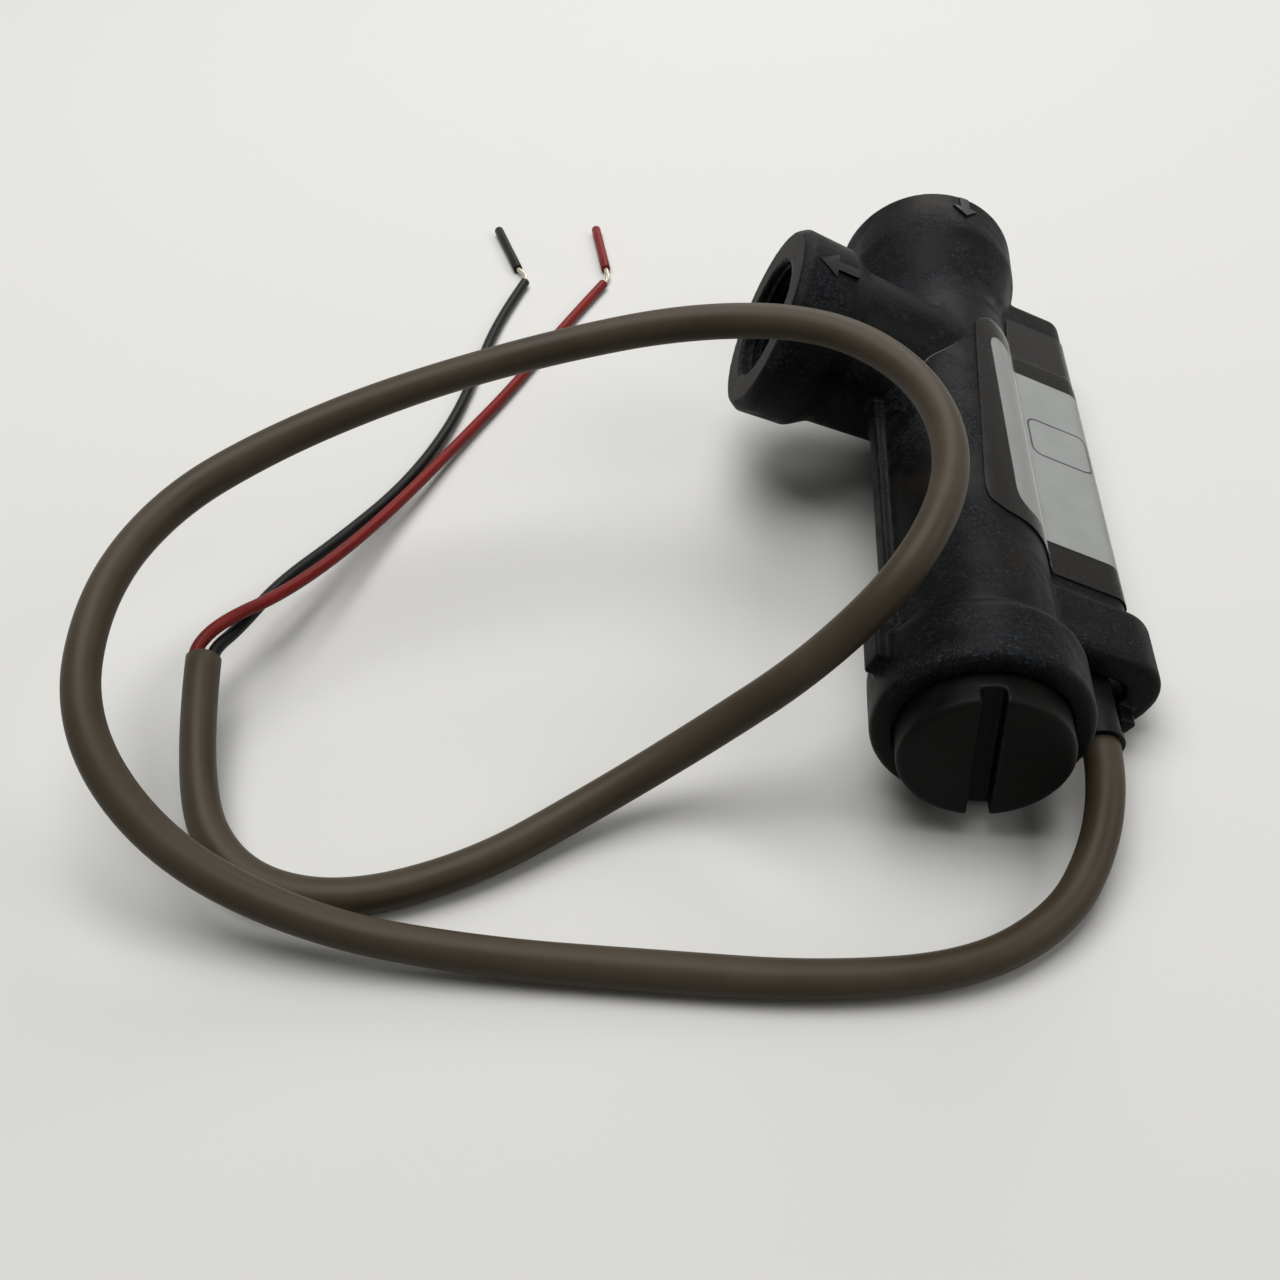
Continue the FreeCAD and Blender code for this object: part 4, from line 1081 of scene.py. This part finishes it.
# ------------ label and film
@dataclass(frozen=True)
class Wrap:
    """The line that paper and film follow: over the tube, down into the crease and round the housing.

    A place on it is a distance in millimetres: 0 where the housing's flat top starts, less towards the tube.
    """

    tube_radius: float = 15.15
    half_width: float = 8.5
    reach: float = 30.4
    corner: float = 4.0
    crease: float = 1.7
    inner_edge: float = 14.9

    @property
    def crease_x(self) -> float:
        """X of the crease's centre, where its curve meets both the tube and the housing's top."""
        return math.sqrt((self.tube_radius + self.crease) ** 2 - (self.half_width + self.crease) ** 2)

    @property
    def meet(self) -> float:
        """The angle on the tube, from the housing's direction, where the crease begins."""
        return math.atan2(self.half_width + self.crease, self.crease_x)

    @property
    def length(self) -> float:
        """How far the line runs round the housing, from its flat top to its underside's inner edge."""
        flat, side = self.reach - self.corner, 2 * (self.half_width - self.corner)
        return 2 * flat - self.crease_x - self.inner_edge + math.pi * self.corner + side

    @property
    def crease_start(self) -> float:
        """The place where the tube ends and the crease begins."""
        return -self.crease * (math.pi / 2 - self.meet)

    def at_angle(self, degrees: float) -> float:
        """Gives the place on the line of an angle on the tube."""
        return self.crease_start - self.tube_radius * (math.radians(degrees) - self.meet)

    def point(self, place: float, station: float, offset: float) -> Point:
        """Gives a point above the line.

        Args:
            place: Where on the line, in millimetres.
            station: Y along the tube.
            offset: Height above the surface.

        Returns:
            The point in body millimetres.
        """
        flat, quarter = self.reach - self.corner - self.crease_x, self.corner * math.pi / 2
        side, low = 2 * (self.half_width - self.corner), self.half_width - self.corner
        if place < self.crease_start:
            turn = self.meet - (place - self.crease_start) / self.tube_radius
            base, centre = self.tube_radius, (0.0, 0.0)
        elif place < 0:
            turn = math.pi / 2 + place / self.crease
            base, centre = -self.crease, (self.crease_x, self.half_width + self.crease)
        elif place < flat:
            turn, base, centre = math.pi / 2, self.half_width, (self.crease_x + place, 0.0)
        elif place < flat + quarter:
            turn = math.pi / 2 - (place - flat) / self.corner
            base, centre = self.corner, (self.reach - self.corner, low)
        elif place < flat + quarter + side:
            turn, base, centre = 0.0, self.reach, (0.0, low - (place - flat - quarter))
        elif place < flat + 2 * quarter + side:
            turn = (flat + quarter + side - place) / self.corner
            base, centre = self.corner, (self.reach - self.corner, -low)
        else:
            past = place - flat - 2 * quarter - side
            turn, base, centre = -math.pi / 2, self.half_width, (self.reach - self.corner - past, 0.0)
        reach = base + offset
        return (centre[0] + reach * math.cos(turn), station, centre[1] + reach * math.sin(turn))


@dataclass
class LabelAndFilm:
    """The bare label, which climbs from the housing onto the tube, and the clear film over it."""

    wrap: Wrap = field(default_factory=Wrap)
    label_angle: float = 79.0
    label_start: float = 45.5
    label_end: float = 99.5
    label_corner: float = 4.2
    film_angle: float = 104.0
    outline_width: float = 0.5
    housing_end: float = 121.0
    # Heights over the moulding, far enough apart that no sheet shows through the next.
    bond_and_reflection_height: float = 0.22
    edge_height: float = 0.26
    label_height: float = 0.30
    rule_height: float = 0.325
    film_height: float = 0.42
    edge_gap_degrees: float = 2.0
    # The film's two ends, as angles on the tube with the station there.
    film_near: tuple[tuple[float, float], ...] = (
        (104.0, 45.4), (102.5, 42.9), (99.0, 41.6), (90.0, 40.0), (66.0, 39.4), (40.0, 38.4), (33.0, 36.6),
    )
    film_far: tuple[tuple[float, float], ...] = (
        (104.0, 46.6), (92.6, 97.0), (90.8, 100.6), (85.0, 103.2), (75.0, 105.3), (33.0, 105.9),
    )
    rule_places: tuple[float, float] = (0.7, 14.6)
    rule_stations: tuple[float, float] = (72.6, 84.3)
    rule_corner: float = 2.2
    rule_width: float = 0.42
    spacing: float = 0.45
    rows: int = 44

    def build(self) -> list[bpy.types.Object]:
        """Builds the adhesive (past the film, a painted dark brown reflection), the label with its painted
        edge shadow and rule, and the film.

        Returns:
            The pieces.
        """
        tape, paper, edge = self.film_angle, self.label_angle, self.outline_width
        gap, spread = paper + self.edge_gap_degrees, self.label_span
        # Past the film, on the housing's flat top, the adhesive sheet is painted reflection: the dark brown
        # that face reflects.
        adhesive = self.laid("film_adhesive", tape, 0.0, self.bond_and_reflection_span, self.bond_and_reflection_height, Finish.ADHESIVE_AND_REFLECTION)
        # The outline round the label is painted shadow: the shade where the film bridges the paper's edge.
        shadow = self.laid("label_edge_gap", gap, edge, spread, self.edge_height, Finish.LABEL_EDGE_SHADOW)
        label = self.laid("label_bare", paper, 0.0, spread, self.label_height, Finish.LABEL)
        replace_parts(label, "label")
        film = self.laid(
            "clear_film_over_label", tape, 0.0, self.film_span, self.film_height, Finish.FILM
        )
        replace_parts(film, "label_film")
        return [adhesive, shadow, label, self.rule(), film]

    def label_span(self, place: float, grow: float) -> tuple[float, float]:
        """Gives the label's first and last station at a place, its near-tube corners rounded.

        Args:
            place: Where on the wrap's line.
            grow: How far the outline is moved outwards.

        Returns:
            Low and high Y.
        """
        left = self.wrap.at_angle(self.label_angle) - grow
        corner = self.label_corner + grow
        into = max(0.0, corner - (place - left))
        drawn_in = corner - math.sqrt(max(corner**2 - into**2, 0.0))
        low = self.label_start - 1.6 * max(0.0, min(1.0, -place / 12.0))
        return low - grow + drawn_in, self.label_end + grow - drawn_in

    def film_span(self, place: float, grow: float) -> tuple[float, float]:
        """Gives the film's first and last station at a place, cut back in a slant up the tube.

        Args:
            place: Where on the line round the body, in millimetres.
            grow: How far to move both ends outwards.

        Returns:
            The first and the last station.
        """

        def read(table: Sequence[tuple[float, float]]) -> float:
            """Reads a line of straight runs from the tube towards the housing.

            Args:
                table: Angle on the tube and station, in pairs.

            Returns:
                The station at the place.
            """
            for (a, low), (b, high) in zip(table, table[1:]):
                start, end = self.wrap.at_angle(a), self.wrap.at_angle(b)
                if place <= end:
                    return low + (high - low) * max(0.0, (place - start) / (end - start))
            return table[-1][1]

        return read(self.film_near) - grow, read(self.film_far) + grow

    def bond_and_reflection_span(self, place: float, grow: float) -> tuple[float, float]:
        """Gives the adhesive's first and last station: the film's, and on the housing as far as its end,
        where the sheet past the film is painted reflection, the dark brown of the flat top.

        Args:
            place: Where on the line round the body, in millimetres.
            grow: How far to move both ends outwards.

        Returns:
            The first and the last station.
        """
        low, high = self.film_span(place, grow)
        share = max(0.0, min(1.0, (place + 1.2) / 1.6))
        return low, high + (self.housing_end - high) * share

    def laid(
        self,
        name: str,
        angle: float,
        grow: float,
        span: Callable[[float, float], tuple[float, float]],
        offset: float,
        finish: Finish,
    ) -> bpy.types.Object:
        """Lays a sheet on the wrap, column by column.

        Args:
            name: The piece's name.
            angle: Degrees on the tube where it starts.
            grow: How far its outline is moved outwards.
            span: Gives the low and high station at a place.
            offset: Height above the surface.
            finish: What it is made of.

        Returns:
            The sheet, one face thick.
        """
        left, right = self.wrap.at_angle(angle), self.wrap.length
        count = int((right - left) / self.spacing)
        places = [left + (right - left) * k / count for k in range(count + 1)]
        spans = [span(place, grow) for place in places]
        vertices = [
            self.wrap.point(place, low + (high - low) * row / self.rows, offset)
            for row in range(self.rows + 1)
            for place, (low, high) in zip(places, spans)
        ]
        faces = bridged(self.rows + 1, len(places), closed=False, capped=False)
        return mesh_piece(name, vertices, faces, finish)

    def rule(self) -> bpy.types.Object:
        """The plain rule printed round the label's middle field: a closed line with rounded corners.

        Returns:
            The rule.
        """
        (left, right), (low, high) = self.rule_places, self.rule_stations
        corner, width = self.rule_corner, self.rule_width
        near, far, below, above = left + corner, right - corner, low + corner, high - corner
        centres = ((far, above), (near, above), (near, below), (far, below))
        path: list[tuple[float, float, float]] = []
        for index, (place, station) in enumerate(centres):
            quarter = index * math.pi / 2
            for angle in (quarter + math.pi / 2 * k / 8 for k in range(9)):
                path.append((place + corner * math.cos(angle), station + corner * math.sin(angle), angle))
            (after, beyond), (start, height, angle) = centres[(index + 1) % 4], path[-1]
            for share in (k / 12 for k in range(1, 12)):
                path.append((start + (after - place) * share, height + (beyond - station) * share, angle))
        vertices: list[Point] = []
        for place, station, angle in path:
            for side in (-width / 2, width / 2):
                aside, along = side * math.cos(angle), side * math.sin(angle)
                vertices.append(self.wrap.point(place + aside, station + along, self.rule_height))
        count = len(path)
        faces = [[2 * k, 2 * k + 1, 2 * ((k + 1) % count) + 1, 2 * ((k + 1) % count)] for k in range(count)]
        return mesh_piece("label_rule", vertices, faces, Finish.INK)


# ------------ pieces kept from the solid model
class InnerWorks:
    """Sealed and internal pieces whose solids already have the right shape."""

    FINISHES: dict[str, Finish] = {
        "plug_o_ring": Finish.NITRILE,
        "shuttle": Finish.ACETAL,
        "shuttle_magnet": Finish.FERRITE,
        "magnet_retainer": Finish.ACETAL,
        "reed_glass": Finish.GLASS,
        "fixed_reed": Finish.REED,
        "moving_reed_lead": Finish.REED,
        "moving_reed": Finish.REED,
        "wire_crimps": Finish.CRIMP,
        "black_inner_lead": Finish.BLACK_PVC,
        "red_inner_lead": Finish.RED_PVC,
        "strain_sleeve": Finish.SLEEVE,
        "cable_potted_end": Finish.JACKET,
        "potting": Finish.EPOXY,
    }

    def build(self) -> list[bpy.types.Object]:
        """Dresses each kept node."""
        kept = [dress(bpy.data.objects[node], finish) for node, finish in self.FINISHES.items()]
        return [*kept, self.spring()]

    def spring(self) -> bpy.types.Object:
        """Builds the return spring's coils as their own copy of the solid model's mesh. The real spring
        shortens onto the plug's cup as the shuttle opens; these coils keep the model's shape.

        Returns:
            The coils.
        """
        coils = copy_of_node("return_spring", "return_spring_coils", "valve", Finish.SPRING)
        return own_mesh(coils)


# ------------ studio
@dataclass
class Studio:
    """A plain pale floor, soft lamps and the camera."""

    floor_colour: str = "#D6D5D1"
    floor_bounce: str = "#9A9A98"
    room_light: float = 0.10
    camera_at: Point = (-39.208, -220.756, 190.614)
    camera_forward: Point = (-0.0550, 0.7001, -0.7119)
    camera_right: Point = (0.99693, 0.07836, 0.0)
    lens_mm: float = 38.74

    def build(self) -> None:
        """Builds the floor, the lamps, the world and the camera."""
        self.floor()
        self.world()
        self.lamps()
        self.camera()

    def seen(self, tree: Tree) -> Socket:
        """Gives 1 to camera, glossy and transmission rays, and 0 to the light that falls on the object.

        Args:
            tree: The node tree that asks.

        Returns:
            A socket with 1 or 0.
        """
        path = add_node(tree, "ShaderNodeLightPath")
        seen = path.outputs["Is Camera Ray"]
        for kind in ("Is Glossy Ray", "Is Transmission Ray"):
            seen = add_node(
                tree, "ShaderNodeMath", {"operation": "MAXIMUM"}, links={0: seen, 1: path.outputs[kind]}
            ).outputs[0]
        return seen

    def floor(self) -> None:
        """Lays the pale floor, which sends a little less light back up than it shows."""
        bpy.ops.mesh.primitive_plane_add(size=4.0, location=(0, 0, 0))
        floor = bpy.context.object
        floor.name = "floor"
        material, tree = blank_material("matt_white_board")
        shades = {6: linear(self.floor_bounce), 7: linear(self.floor_colour)}
        colour = add_node(tree, "ShaderNodeMix", {"data_type": "RGBA"}, shades, {0: self.seen(tree)})
        matt, links = {"Roughness": 0.9}, {"Base Color": colour.outputs[2]}
        board = add_node(tree, "ShaderNodeBsdfPrincipled", values=matt, links=links)
        add_node(tree, "ShaderNodeOutputMaterial", links={"Surface": board.outputs[0]})
        floor.data.materials.append(material)

    def world(self) -> None:
        """A dim room, with a pale backdrop for the camera and for what glossy and clear pieces show."""
        world = bpy.data.worlds.new("studio_room")
        world.use_nodes = True
        tree = world.node_tree
        tree.nodes.clear()
        strength = add_node(
            tree, "ShaderNodeMapRange", values={3: self.room_light, 4: 0.85}, links={0: self.seen(tree)}
        ).outputs[0]
        pale = {"Color": linear("#E6E6E4")}
        shade = add_node(tree, "ShaderNodeBackground", values=pale, links={"Strength": strength})
        add_node(tree, "ShaderNodeOutputWorld", links={"Surface": shade.outputs[0]})
        bpy.context.scene.world = world

    def lamps(self) -> None:
        """A large soft lamp overhead, a little to the back, and two weak ones behind and to the right."""
        aim = Vector((-0.03, 0.0, 0.02))
        for name, at, size, power in (
            ("key_softbox", (-0.22, 0.16, 1.00), 0.8, 10.2),
            ("back_softbox", (0.10, 0.80, 0.60), 0.5, 2.5),
            ("right_fill", (0.90, -0.10, 0.80), 0.6, 3.2),
        ):
            data = bpy.data.lights.new(name, "AREA")
            data.energy = power
            data.size = size
            lamp = bpy.data.objects.new(name, data)
            lamp.location = at
            lamp.rotation_euler = (aim - Vector(at)).to_track_quat("-Z", "Y").to_euler()
            bpy.context.scene.collection.objects.link(lamp)

    def camera(self) -> None:
        """Sets the camera at the given place and lens."""
        forward = Vector(self.camera_forward).normalized()
        right = Vector(self.camera_right).normalized()
        up = right.cross(forward)
        turn = Matrix((right, up, -forward)).transposed().to_4x4()
        data = bpy.data.cameras.new("camera")
        data.lens = self.lens_mm
        data.sensor_width = 36.0
        data.sensor_fit = "HORIZONTAL"
        data.clip_start = 0.005
        camera = bpy.data.objects.new("camera", data)
        camera.matrix_world = Matrix.Translation(Vector(self.camera_at) * MM) @ turn
        bpy.context.scene.collection.objects.link(camera)
        bpy.context.scene.camera = camera
        bpy.context.scene.view_settings.view_transform = "Standard"


def main() -> None:
    """Builds every sub-assembly in order and reports its pieces."""
    logging.basicConfig(level=logging.INFO, format="%(message)s")
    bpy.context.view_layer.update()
    Studio().build()
    builders: list[tuple[str, Any]] = [
        ("cable", Cable()),
        *[(f"{core.colour} core", core) for core in stripped_cores()],
        ("moulded body", MouldedBody()),
        ("service plug", ServicePlug()),
        ("label and film", LabelAndFilm()),
        ("inner works", InnerWorks()),
    ]
    for title, builder in builders:
        for piece in builder.build():
            LOG.info("%s: %s", title, piece.name)


if __name__ == "__main__":
    main()
